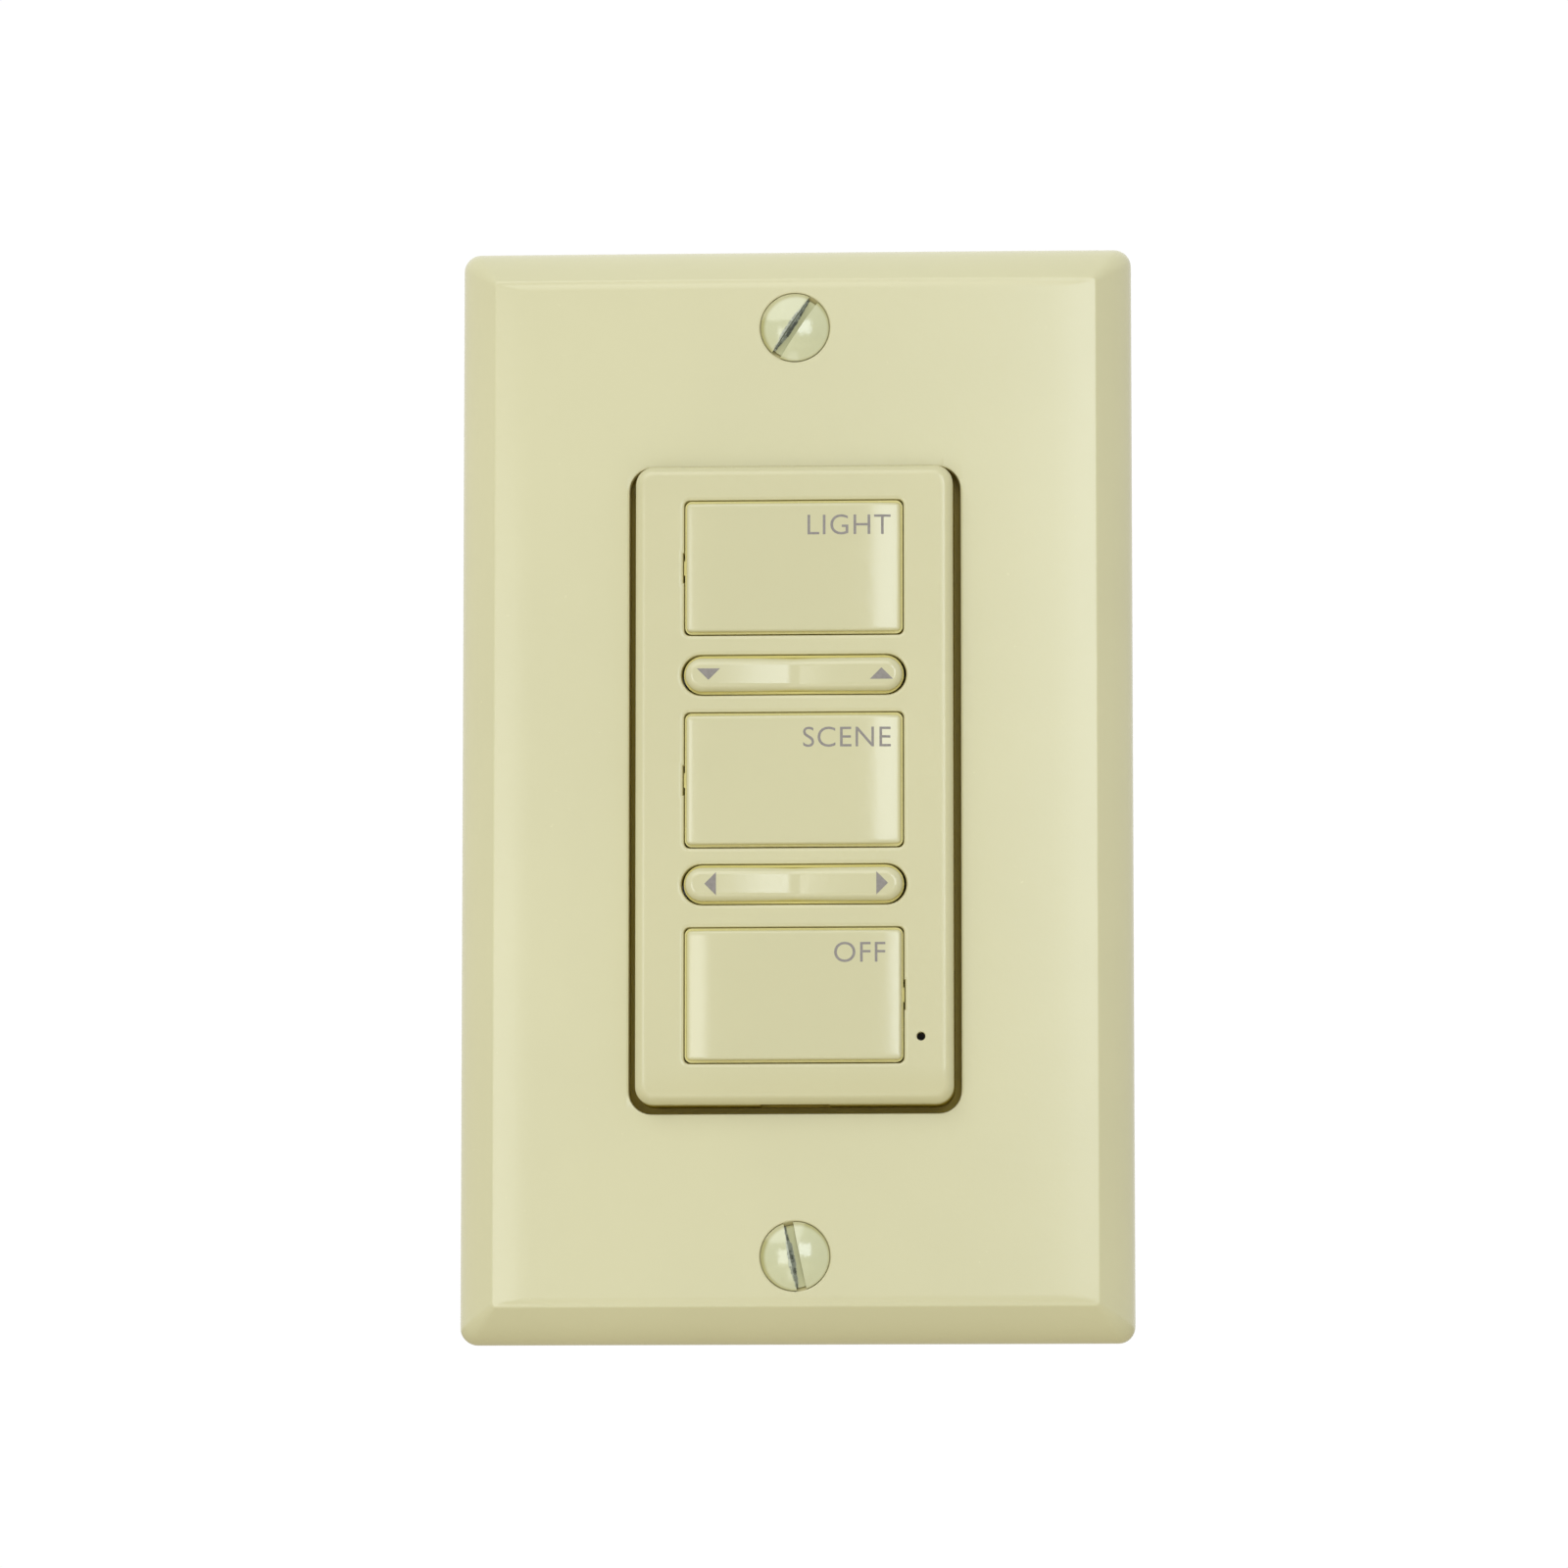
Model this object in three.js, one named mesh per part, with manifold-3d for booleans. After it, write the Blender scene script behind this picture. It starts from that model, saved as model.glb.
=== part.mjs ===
// Single-gang wall dimmer keypad: a bevelled wall plate round an insert with three push buttons and two
// rocker bars, on a steel strap, with the boards, switches and terminals in a housing behind it.
//
// Millimetres. +X is to the right and +Z up as a person faces the wall, and +Y points into the wall.
// The origin is on the wall's surface, behind the centre of the wall plate, so the front faces -Y.

import * as THREE from 'three';
import { mergeVertices } from 'three/addons/utils/BufferGeometryUtils.js';
import Module from 'manifold-3d';

const wasm = await Module();
wasm.setup();

// ---------------------------------------------------------------------------------------- dimensions

const GAP = 0.1;                      // between faces that touch on the real object
const ARC_STEPS = 3;                  // curve divisions: twice as many straight steps in each corner
const ROUND_STEPS = 20;               // sides of a turned piece
const WALL = 0;                       // the wall's surface, on Y
const BITE = 0.2;                     // how far a joined solid sinks into its neighbour
const CUT = 1;                        // how far a cutter reaches past the face that it opens

const PLATE = {
  width: 69.85,
  height: 114.3,
  depth: 6.2,
  skin: 2.2,                          // thickness of the front
  corner: 1.75,
  sideRise: 1.4,                      // straight side wall before the bevel starts
  bevelInset: 3.7,
  kneeInset: 1.35,                    // the bevel is convex: two slopes that meet at a knee
  kneeRise: 4.0,
  rim: 3.6,                           // from the outline to the hollow back
  rimCorner: 1.5,
};
const OPENING = { width: 34.3, height: 67.3, corner: 2.3 };
const PLATE_RIB = { z: 40, thickness: 1.0, fromOpening: 2.0, strapGap: 0.9 };
const PLATE_BOSS = { radius: 3.2, hole: 2.0, strapGap: 0.4 };

const PLATE_SCREW_Z = 96.84 / 2;
const PLATE_SCREW = { length: 12.7, shank: 1.7, tip: 0.8, sunk: 0.05 };
const HEAD = { radius: 3.55, cone: 2.07, neck: 1.75, dome: 0.8 };
const SLOT = { width: 1.0, depth: 1.15 };
const COUNTERSINK_CLEARANCE = 0.12;   // round the screw's head

const BOX_SCREW_Z = 83.3 / 2;
const BOX_SCREW = {
  length: 25.4,
  shank: 1.7,
  tip: 0.8,
  head: 3.3,
  headHeight: 1.95,
  slot: 1.0,
  slotFloor: 1.0,                     // in front of the strap
};
const RETAINER = { width: 10, height: 8, corner: 1.5, thickness: 0.8, hole: 1.8 };

const STRAP = { thickness: 1.6, width: 44, height: 76, corner: 3 };
const STRAP_NECK = { width: 30, height: 92 };
const STRAP_EAR = { width: 38, height: 9.5, corner: 3, reach: 52.5 };
const STRAP_WINDOW = { width: 22.8, height: 58, corner: 1.5 };
const BOX_SLOT = { width: 6.5, height: 4.0 };
const EAR_HOLE = { x: 14, z: 47.5, radius: 1.2 };
const TAPPED_RADIUS = 1.75;
const RESET_HOLE_RADIUS = 1.1;        // in the strap, behind the insert's pin hole

const DEVICE_RISE = 0.35;             // the insert sits this far above the plate's centre

const FRAME = {
  width: 32.9,
  height: 66.4,
  corner: 1.85,
  proud: 2.4,                         // beyond the plate's front
  edge: 1.0,                          // rounding of the front edge
  skin: 1.6,
  side: 1.3,
};
const FRAME_FLANGE = { width: 40, height: 72, corner: 2, thickness: 1.5 };
const BUTTON_WINDOW = { width: 22.6, height: 14.0, corner: 0.5 };
const ROCKER_WINDOW = { width: 23.2, height: 4.1 };
const LATCH_SLOT = { depth: 0.45, height: 3.0 };
const PRY_NOTCH = { width: 7.2, depth: 0.5, front: 1.3, flangeGap: 0.6 };
const PIN_HOLE = { x: 13.1, z: -26.3, radius: 0.45 };
const SCREW_BOSS = { radius: 1.9, blind: 0.6 };
const LUG = { halfWidth: 1.6, near: 2.3, far: 3.5, pastAxle: 1.2 };

const BUTTON = {
  width: 22.2,
  height: 13.4,
  corner: 0.45,
  edgeProud: 0.15,                    // its rim beyond the insert's face
  crown: 0.3,                         // its middle beyond its rim
  softEdge: 0.25,
  skin: 1.5,
  side: 1.2,
  depth: 3.1,
};
const BUTTON_WING = { reach: 1.4, height: 8, thickness: 1.1 };
const BUTTON_TAB = { reach: 0.35, height: 1.5, thickness: 1.3, back: 0.15 };
const BUTTON_POST_RADIUS = 1.7;
const BUTTONS = [
  { name: 'light', z: 22.5, latch: -1 },
  { name: 'scene', z: 0.35, latch: -1 },
  { name: 'off', z: -22.0, latch: 1 },
];

const ROCKER = {
  width: 22.5,
  height: 3.5,
  edge: 0.8,                          // rounding of its front edge
  endProud: 0.9,                      // its ends beyond the insert's face
  middleProud: 0.4,                   // its middle beyond the insert's face
  thickness: 1.4,                     // at the middle
};
const ROCKER_PIVOT_BACK = 3.4;        // pivot axis behind the insert's face
const ROCKER_PIN = { radius: 0.6, length: 6.8, lugPlay: 0.03, barPlay: 0.08 };
const ROCKER_HUB = { halfWidth: 1.6, halfHeight: 1.5, pastAxle: 1.2 };
const ROCKER_LEG = { x: 8, radius: 1.2 };
const ROCKERS = [
  { name: 'dimming', z: 11.3, switches: ['dim_down', 'dim_up'] },
  { name: 'scene', z: -10.5, switches: ['scene_back', 'scene_next'] },
];

const SWITCH = { size: 6.0, front: -1.4, boreRadius: 1.9, boreFloor: 0.8 };
const PLUNGER = { radius: 1.7, tip: -3.1, back: 0.1 };
const RESET = { size: 3.6, front: 0.5, boreRadius: 0.95, boreFloor: 1.4 };
const RESET_PLUNGER = { radius: 0.75, tip: -4.6, back: 0.9 };

const BOARD = { thickness: 1.6, front: 2.0 };
const POWER_BOARD = { width: 33, height: 50, front: 14.6, corner: 1 };
const HEADER = { width: 20, height: 2.6, z: 8 };
const CONTROLLER = { size: 10, height: 1.4, z: -4 };
const REGULATOR = { width: 6.6, height: 6.2, thickness: 2.3, x: 10.5, z: 18 };
const CAPACITOR = { radius: 4, height: 8, edge: 0.3, x: -9.5, z: -14 };
const CHOKE = { radius: 4.5, core: 3.9, height: 7, flange: 1.2, ease: 0.2, x: 9.5, z: -14 };

const HOUSING = { width: 42, height: 66, depth: 22, side: 1.6, rear: 1.8, corner: 1.5 };
const HOUSING_NOTCH = { x: 9, z: 29.3, shelf: 1.0 };
const HOUSING_RIB = { x: 17.4, z: 20, thickness: 2 };
const HOUSING_PILLAR = { x: 14, z: 22.4, radius: 1.6 };
const PORT_CLEARANCE = 0.8;           // round the terminal block, both sides together
const HOUSING_FLANGE = { width: 42, height: 69, thickness: 2.4, corner: 2 };
const HOUSING_SCREW = {
  x: 13.3,
  z: 31.2,
  headRadius: 1.75,
  headHeight: 1.2,
  shankRadius: 1.0,
  length: 8.5,
  crossReach: 1.1,
  crossWidth: 0.5,
  crossFloor: 0.6,
};
const VENT = { count: 5, width: 18, height: 1.4, pitch: 3.4, lowestZ: 6 };

const TERMINAL = {
  count: 4,
  pitch: 5.08,
  height: 10,
  z: -19.9,
  rear: 27,
  entry: 3.4,                         // side of a wire's square mouth
  entryDepth: 2.5,
  entryFromRear: 2.6,                 // to its middle
  well: 2.0,                          // radius over a screw
  wellDepth: 3.1,
  bore: 1.1,                          // radius round a screw's shank
  boreDepth: 4,
};
const TERMINAL_SCREW = { head: 1.8, headHeight: 1.8, shank: 1.0, length: 3.5, slot: 0.7, slotFloor: 1.0 };

const frameFront = -(PLATE.depth + FRAME.proud);
const frameCeiling = frameFront + FRAME.skin;
const axle = frameFront + ROCKER_PIVOT_BACK;
const strapFront = WALL - STRAP.thickness;
const boardRear = BOARD.front + BOARD.thickness;
const powerRear = POWER_BOARD.front + BOARD.thickness;

// ------------------------------------------------------------------------------------------- finishes

const finishes = {
  ivoryPlate: { color: 0xdbd7af, roughness: 0.35, metalness: 0 },
  ivoryFrame: { color: 0xd5d1a9, roughness: 0.38, metalness: 0 },
  ivoryCap: { color: 0xd4d1aa, roughness: 0.3, metalness: 0 },
  paintedScrew: { color: 0xd6d3a8, roughness: 0.4, metalness: 0.2 },
  zincSteel: { color: 0xb4b4ac, roughness: 0.42, metalness: 0.9 },
  fibre: { color: 0x8a5a3c, roughness: 0.85, metalness: 0 },
  switchBlack: { color: 0x1c1c1e, roughness: 0.55, metalness: 0 },
  plungerWhite: { color: 0xe4e2da, roughness: 0.5, metalness: 0 },
  board: { color: 0x1f5a34, roughness: 0.5, metalness: 0 },
  chip: { color: 0x202022, roughness: 0.6, metalness: 0 },
  capacitor: { color: 0x27303f, roughness: 0.4, metalness: 0.1 },
  copper: { color: 0xa86a3a, roughness: 0.4, metalness: 0.7 },
  terminalGreen: { color: 0x2f7a4a, roughness: 0.5, metalness: 0 },
  housing: { color: 0x35353a, roughness: 0.6, metalness: 0 },
};

// -------------------------------------------------------------------------------------------- helpers

/** Turns a closed three.js geometry into a solid that can be joined and cut. */
function solid(geometry) {
  const bare = geometry.clone();
  bare.deleteAttribute('normal');
  bare.deleteAttribute('uv');
  const merged = mergeVertices(bare, 1e-4);
  const corners = merged.index.array;
  const kept = [];
  for (let i = 0; i < corners.length; i += 3) {
    const [a, b, c] = [corners[i], corners[i + 1], corners[i + 2]];
    if (a !== b && b !== c && c !== a) {
      kept.push(a, b, c);
    }
  }
  return new wasm.Manifold(new wasm.Mesh({
    numProp: 3,
    vertProperties: new Float32Array(merged.attributes.position.array),
    triVerts: new Uint32Array(kept),
  }));
}

/** Turns a solid back into a geometry for a mesh. */
function geometryOf(body) {
  const mesh = body.getMesh();
  const geometry = new THREE.BufferGeometry();
  geometry.setAttribute('position', new THREE.BufferAttribute(mesh.vertProperties, 3));
  geometry.setIndex(new THREE.BufferAttribute(mesh.triVerts, 1));
  geometry.computeVertexNormals();
  return geometry;
}

/** A rounded rectangle in the wall's plane, centred on (x, z). */
function roundedRectangle(width, height, radius, x = 0, z = 0) {
  const right = x + width / 2 - radius;
  const left = x - width / 2 + radius;
  const top = z + height / 2 - radius;
  const bottom = z - height / 2 + radius;
  const outline = new THREE.Shape();
  outline.absarc(right, top, radius, 0, Math.PI / 2);
  outline.absarc(left, top, radius, Math.PI / 2, Math.PI);
  outline.absarc(left, bottom, radius, Math.PI, 1.5 * Math.PI);
  outline.absarc(right, bottom, radius, 1.5 * Math.PI, 2 * Math.PI);
  return outline;
}

/** The corner radius that makes a rounded rectangle of that height a stadium. */
function stadium(height) {
  return height / 2 - 0.01;
}

/** A plain rectangle in the wall's plane, centred on (x, z). */
function rectangle(width, height, x = 0, z = 0) {
  return new THREE.Shape([
    new THREE.Vector2(x - width / 2, z - height / 2),
    new THREE.Vector2(x + width / 2, z - height / 2),
    new THREE.Vector2(x + width / 2, z + height / 2),
    new THREE.Vector2(x - width / 2, z + height / 2),
  ]);
}

/** Extrudes an outline of the wall's plane from the depth `back` forward to the depth `front`. */
function slab(outline, back, front) {
  const geometry = new THREE.ExtrudeGeometry(outline, {
    depth: back - front,
    bevelEnabled: false,
    curveSegments: ARC_STEPS,
  });
  geometry.rotateX(Math.PI / 2);
  geometry.translate(0, back, 0);
  return solid(geometry);
}

/**
 * A slab whose front edge is eased: `outline` is the front face, and the sides stand `inset` outside it
 * from `rise` behind it. One step makes a chamfer and more steps a rounding.
 */
function easedSlab(outline, back, front, inset, rise, steps) {
  const depth = back - front;
  const geometry = new THREE.ExtrudeGeometry(outline, {
    depth,
    bevelEnabled: true,
    bevelSize: inset,
    bevelThickness: rise,
    bevelSegments: steps,
    curveSegments: ARC_STEPS,
  });
  geometry.rotateX(Math.PI / 2);
  geometry.translate(0, front + depth + rise, 0);
  const reach = 400;
  return solid(geometry).intersect(slab(rectangle(reach, reach), back, front - 1));
}

/** A cylinder along Y, from the depth `back` forward to `front`. */
function rod(radius, x, z, back, front, sides = ROUND_STEPS) {
  const geometry = new THREE.CylinderGeometry(radius, radius, back - front, sides);
  geometry.translate(x, (back + front) / 2, z);
  return solid(geometry);
}

/** A cylinder along Z, centred on (x, y, z). */
function crossRod(radius, length, x, y, z, sides = ROUND_STEPS) {
  const geometry = new THREE.CylinderGeometry(radius, radius, length, sides);
  geometry.rotateX(Math.PI / 2);
  geometry.translate(x, y, z);
  return solid(geometry);
}

/** A body turned about Y from [radius, depth] points, deepest first. */
function turned(profile, sides = ROUND_STEPS) {
  const points = profile.map(([radius, y]) => new THREE.Vector2(radius, -y));
  const geometry = new THREE.LatheGeometry(points, sides);
  geometry.rotateX(Math.PI);
  return solid(geometry);
}

/** A box from its lowest to its highest corner. */
function block(low, high) {
  const geometry = new THREE.BoxGeometry(high[0] - low[0], high[1] - low[1], high[2] - low[2]);
  geometry.translate((low[0] + high[0]) / 2, (low[1] + high[1]) / 2, (low[2] + high[2]) / 2);
  return solid(geometry);
}

/** A block between two X values in either order and two depths, centred on z. */
function bar([xa, xb], [front, back], z, height) {
  return block([Math.min(xa, xb), front, z - height / 2], [Math.max(xa, xb), back, z + height / 2]);
}

/** A named mesh of a solid, with its own material. */
function piece(name, body, finish) {
  const mesh = new THREE.Mesh(geometryOf(body), new THREE.MeshStandardMaterial(finish));
  mesh.name = name;
  return mesh;
}

// ------------------------------------------------------------------------------------- wall plate

/** The plate's outer block: two mitred chamfers and the rounded outline together make its bevel. */
function plateBlock() {
  const front = -PLATE.depth;
  const steepRise = PLATE.depth - PLATE.sideRise;
  const steepInset = steepRise * PLATE.kneeInset / (PLATE.kneeRise - PLATE.sideRise);
  const shallowSlope = (PLATE.bevelInset - PLATE.kneeInset) / (PLATE.depth - PLATE.kneeRise);
  const shallowRise = PLATE.bevelInset / shallowSlope;
  const chamfer = (inset, rise) => easedSlab(
    rectangle(PLATE.width - 2 * inset, PLATE.height - 2 * inset), WALL, front, inset, rise, 1);
  return slab(roundedRectangle(PLATE.width, PLATE.height, PLATE.corner), WALL, front)
    .intersect(chamfer(steepInset, steepRise))
    .intersect(chamfer(PLATE.bevelInset, shallowRise));
}

function wallPlate() {
  const ceiling = PLATE.skin - PLATE.depth;
  const hollow = roundedRectangle(
    PLATE.width - 2 * PLATE.rim, PLATE.height - 2 * PLATE.rim, PLATE.rimCorner);
  const opening = roundedRectangle(OPENING.width, OPENING.height, OPENING.corner);
  let body = plateBlock()
    .subtract(slab(hollow, CUT, ceiling))
    .subtract(slab(opening, CUT, -PLATE.depth - CUT));
  const ribInner = OPENING.width / 2 + PLATE_RIB.fromOpening;
  const ribOuter = PLATE.width / 2 - PLATE.rim + BITE;
  for (const side of [-1, 1]) {
    for (const end of [-1, 1]) {
      body = body.add(bar(
        [end * ribInner, end * ribOuter],
        [ceiling - BITE, strapFront - PLATE_RIB.strapGap],
        side * PLATE_RIB.z, PLATE_RIB.thickness));
    }
    const z = side * PLATE_SCREW_Z;
    body = body
      .add(rod(PLATE_BOSS.radius, 0, z, strapFront - PLATE_BOSS.strapGap, ceiling - BITE))
      .subtract(rod(PLATE_BOSS.hole, 0, z, CUT, -PLATE.depth - CUT))
      .subtract(countersink().translate([0, 0, z]));
  }
  return piece('wall_plate', body, finishes.ivoryPlate);
}

/** The space that an oval head's cone sinks into. */
function countersink() {
  const front = -PLATE.depth;
  const slope = (HEAD.radius - HEAD.neck) / HEAD.cone;
  const mouth = HEAD.radius + COUNTERSINK_CLEARANCE;
  return turned([
    [0, front + mouth / slope],
    [mouth, front],
    [mouth, front - CUT],
    [0, front - CUT],
  ]);
}

function plateScrew(name, z, slotTurn) {
  const { length, shank, tip, sunk } = PLATE_SCREW;
  const rim = sunk - PLATE.depth;
  const top = rim - HEAD.dome;
  const body = turned([
    [0, rim + length],
    [shank - tip / 2, rim + length],
    [shank, rim + length - tip],
    [shank, rim + HEAD.cone],
    [HEAD.radius, rim],
    [HEAD.radius * 0.97, rim - HEAD.dome * 0.22],
    [HEAD.radius * 0.8, rim - HEAD.dome * 0.55],
    [HEAD.radius * 0.5, rim - HEAD.dome * 0.87],
    [0, top],
  ]);
  const cutter = bar(
    [-SLOT.width / 2, SLOT.width / 2], [top - CUT, top + SLOT.depth], 0, 2 * (HEAD.radius + CUT));
  const mesh = piece(name, body.subtract(cutter), finishes.paintedScrew);
  mesh.rotation.y = THREE.MathUtils.degToRad(slotTurn);
  mesh.position.z = z;
  return mesh;
}

// ----------------------------------------------------------------------------------- strap and screws

function mountingStrap() {
  const ears = (side) => {
    const { width, height, corner, reach } = STRAP_EAR;
    const z = side * (reach - height / 2);
    return slab(roundedRectangle(width, height, corner, 0, z), WALL, strapFront);
  };
  let body = slab(roundedRectangle(STRAP.width, STRAP.height, STRAP.corner), WALL, strapFront)
    .add(slab(rectangle(STRAP_NECK.width, STRAP_NECK.height), WALL, strapFront))
    .add(ears(1))
    .add(ears(-1));
  const cut = (outline) => {
    body = body.subtract(slab(outline, CUT, strapFront - CUT));
  };
  const drill = (radius, x, z) => {
    body = body.subtract(rod(radius, x, z, CUT, strapFront - CUT, 12));
  };
  cut(roundedRectangle(STRAP_WINDOW.width, STRAP_WINDOW.height, STRAP_WINDOW.corner, 0, DEVICE_RISE));
  for (const side of [-1, 1]) {
    const { width, height } = BOX_SLOT;
    cut(roundedRectangle(width, height, stadium(height), 0, side * BOX_SCREW_Z));
    drill(TAPPED_RADIUS, 0, side * PLATE_SCREW_Z);
    for (const end of [-1, 1]) {
      drill(EAR_HOLE.radius, end * EAR_HOLE.x, side * EAR_HOLE.z);
      drill(EAR_HOLE.radius, end * HOUSING_SCREW.x, side * HOUSING_SCREW.z + DEVICE_RISE);
    }
  }
  drill(RESET_HOLE_RADIUS, PIN_HOLE.x, PIN_HOLE.z + DEVICE_RISE);
  return piece('mounting_strap', body, finishes.zincSteel);
}

function boxScrew(name, z) {
  const { length, shank, tip, head, headHeight, slot, slotFloor } = BOX_SCREW;
  const seat = strapFront - GAP;
  const cutter = bar(
    [-slot / 2, slot / 2], [seat - headHeight - CUT, seat - slotFloor], 0, 2 * (head + CUT));
  const body = turned([
    [0, seat + length],
    [shank - tip / 2, seat + length],
    [shank, seat + length - tip],
    [shank, seat],
    [head, seat],
    [head * 0.97, seat - headHeight * 0.46],
    [head * 0.7, seat - headHeight * 0.82],
    [0, seat - headHeight],
  ]).subtract(cutter);
  const mesh = piece(name, body, finishes.zincSteel);
  mesh.position.z = z;
  return mesh;
}

function screwRetainer(name, z) {
  const { width, height, corner, thickness, hole } = RETAINER;
  const body = slab(roundedRectangle(width, height, corner), GAP + thickness, GAP)
    .subtract(rod(hole, 0, 0, GAP + thickness + CUT, -CUT));
  const mesh = piece(name, body, finishes.fibre);
  mesh.position.z = z;
  return mesh;
}

// --------------------------------------------------------------------------------------- insert frame

function faceFrame() {
  const back = strapFront - 2 * GAP;
  const flangeFront = back - FRAME_FLANGE.thickness;
  const face = roundedRectangle(
    FRAME.width - 2 * FRAME.edge, FRAME.height - 2 * FRAME.edge, FRAME.corner - FRAME.edge);
  const hollow = roundedRectangle(
    FRAME.width - 2 * FRAME.side, FRAME.height - 2 * FRAME.side, FRAME.corner - FRAME.edge);
  const flange = roundedRectangle(FRAME_FLANGE.width, FRAME_FLANGE.height, FRAME_FLANGE.corner);
  let body = easedSlab(face, back, frameFront, FRAME.edge, FRAME.edge, 4)
    .add(slab(flange, back, flangeFront))
    .subtract(slab(hollow, back + CUT, frameCeiling));
  for (const { z, latch } of BUTTONS) {
    const { width, height, corner } = BUTTON_WINDOW;
    const slot = rectangle(2 * LATCH_SLOT.depth, LATCH_SLOT.height, latch * width / 2, z);
    body = body
      .subtract(slab(roundedRectangle(width, height, corner, 0, z), WALL, frameFront - CUT))
      .subtract(slab(slot, frameCeiling + CUT, frameFront - CUT));
  }
  for (const { z } of ROCKERS) {
    const { width, height } = ROCKER_WINDOW;
    body = body.subtract(
      slab(roundedRectangle(width, height, stadium(height), 0, z), WALL, frameFront - CUT));
    for (const side of [-1, 1]) {
      body = body.add(bar(
        [-LUG.halfWidth, LUG.halfWidth],
        [frameCeiling - BITE, axle + LUG.pastAxle],
        z + side * (LUG.near + LUG.far) / 2, LUG.far - LUG.near));
    }
    body = body.subtract(
      crossRod(ROCKER_PIN.radius + ROCKER_PIN.lugPlay, 2 * LUG.far + CUT, 0, axle, z, 16));
  }
  for (const x of [-HOUSING_SCREW.x, HOUSING_SCREW.x]) {
    for (const z of [-HOUSING_SCREW.z, HOUSING_SCREW.z]) {
      const bore = HOUSING_SCREW.shankRadius + GAP / 2;
      body = body
        .add(rod(SCREW_BOSS.radius, x, z, back, frameCeiling - BITE, 16))
        .subtract(rod(bore, x, z, back + CUT, frameCeiling + SCREW_BOSS.blind, 16));
    }
  }
  body = body.subtract(rod(PIN_HOLE.radius, PIN_HOLE.x, PIN_HOLE.z, WALL, frameFront - CUT, 12));
  const bottom = -FRAME.height / 2;
  const notch = bar(
    [-PRY_NOTCH.width / 2, PRY_NOTCH.width / 2],
    [frameFront + PRY_NOTCH.front, flangeFront - PRY_NOTCH.flangeGap],
    bottom, 2 * PRY_NOTCH.depth);
  return piece('face_frame', body.subtract(notch), finishes.ivoryFrame);
}

// -------------------------------------------------------------------------------- buttons and rockers

/** The space behind a cap's crowned front: a profile in X and Y, run along Z. */
function crownedBlock(width, height, back, edge, middle) {
  const profile = new THREE.Shape();
  profile.moveTo(-width / 2, edge);
  profile.quadraticCurveTo(0, 2 * middle - edge, width / 2, edge);
  profile.lineTo(width / 2, back);
  profile.lineTo(-width / 2, back);
  profile.closePath();
  const geometry = new THREE.ExtrudeGeometry(profile, {
    depth: height,
    bevelEnabled: false,
    curveSegments: 10,
  });
  geometry.translate(0, 0, -height / 2);
  return solid(geometry);
}

function button({ name, z, latch }) {
  const edge = frameFront - BUTTON.edgeProud;
  const middle = edge - BUTTON.crown;
  const back = edge + BUTTON.depth;
  const ceiling = edge + BUTTON.skin;
  const face = roundedRectangle(
    BUTTON.width - 2 * BUTTON.softEdge, BUTTON.height - 2 * BUTTON.softEdge, BUTTON.corner - BUTTON.softEdge);
  const tip = PLUNGER.tip - GAP;
  const halfWidth = BUTTON.width / 2;
  const wingFront = frameCeiling + GAP;
  const hollow = rectangle(BUTTON.width - 2 * BUTTON.side, BUTTON.height - 2 * BUTTON.side);
  let body = crownedBlock(BUTTON.width, BUTTON.height, back, edge, middle)
    .intersect(easedSlab(face, back, middle, BUTTON.softEdge, BUTTON.crown + BUTTON.softEdge, 2))
    .subtract(slab(hollow, back + CUT, ceiling))
    .add(rod(BUTTON_POST_RADIUS, 0, 0, tip, ceiling - BITE));
  for (const side of [-1, 1]) {
    body = body.add(bar(
      [side * (halfWidth - 2 * BITE), side * (halfWidth + BUTTON_WING.reach)],
      [wingFront, wingFront + BUTTON_WING.thickness],
      0, BUTTON_WING.height));
  }
  const tabFront = frameFront + BUTTON_TAB.back;
  body = body.add(bar(
    [latch * (halfWidth - 2 * BITE), latch * (halfWidth + BUTTON_TAB.reach)],
    [tabFront, tabFront + BUTTON_TAB.thickness],
    0, BUTTON_TAB.height));
  const mesh = piece(`${name}_button`, body, finishes.ivoryCap);
  mesh.position.z = z;
  return mesh;
}

/** A rocker's front is a shallow V: its ends stand further out than its middle. */
function rockerFront(back, end, middle) {
  const half = ROCKER.width / 2;
  const profile = new THREE.Shape();
  profile.moveTo(-half, end);
  profile.quadraticCurveTo(-half * 0.45, middle + 0.02, 0, middle);
  profile.quadraticCurveTo(half * 0.45, middle + 0.02, half, end);
  profile.lineTo(half, back);
  profile.lineTo(-half, back);
  profile.closePath();
  const geometry = new THREE.ExtrudeGeometry(profile, {
    depth: ROCKER.height,
    bevelEnabled: false,
    curveSegments: 5,
  });
  geometry.translate(0, 0, -ROCKER.height / 2);
  return solid(geometry);
}

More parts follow.
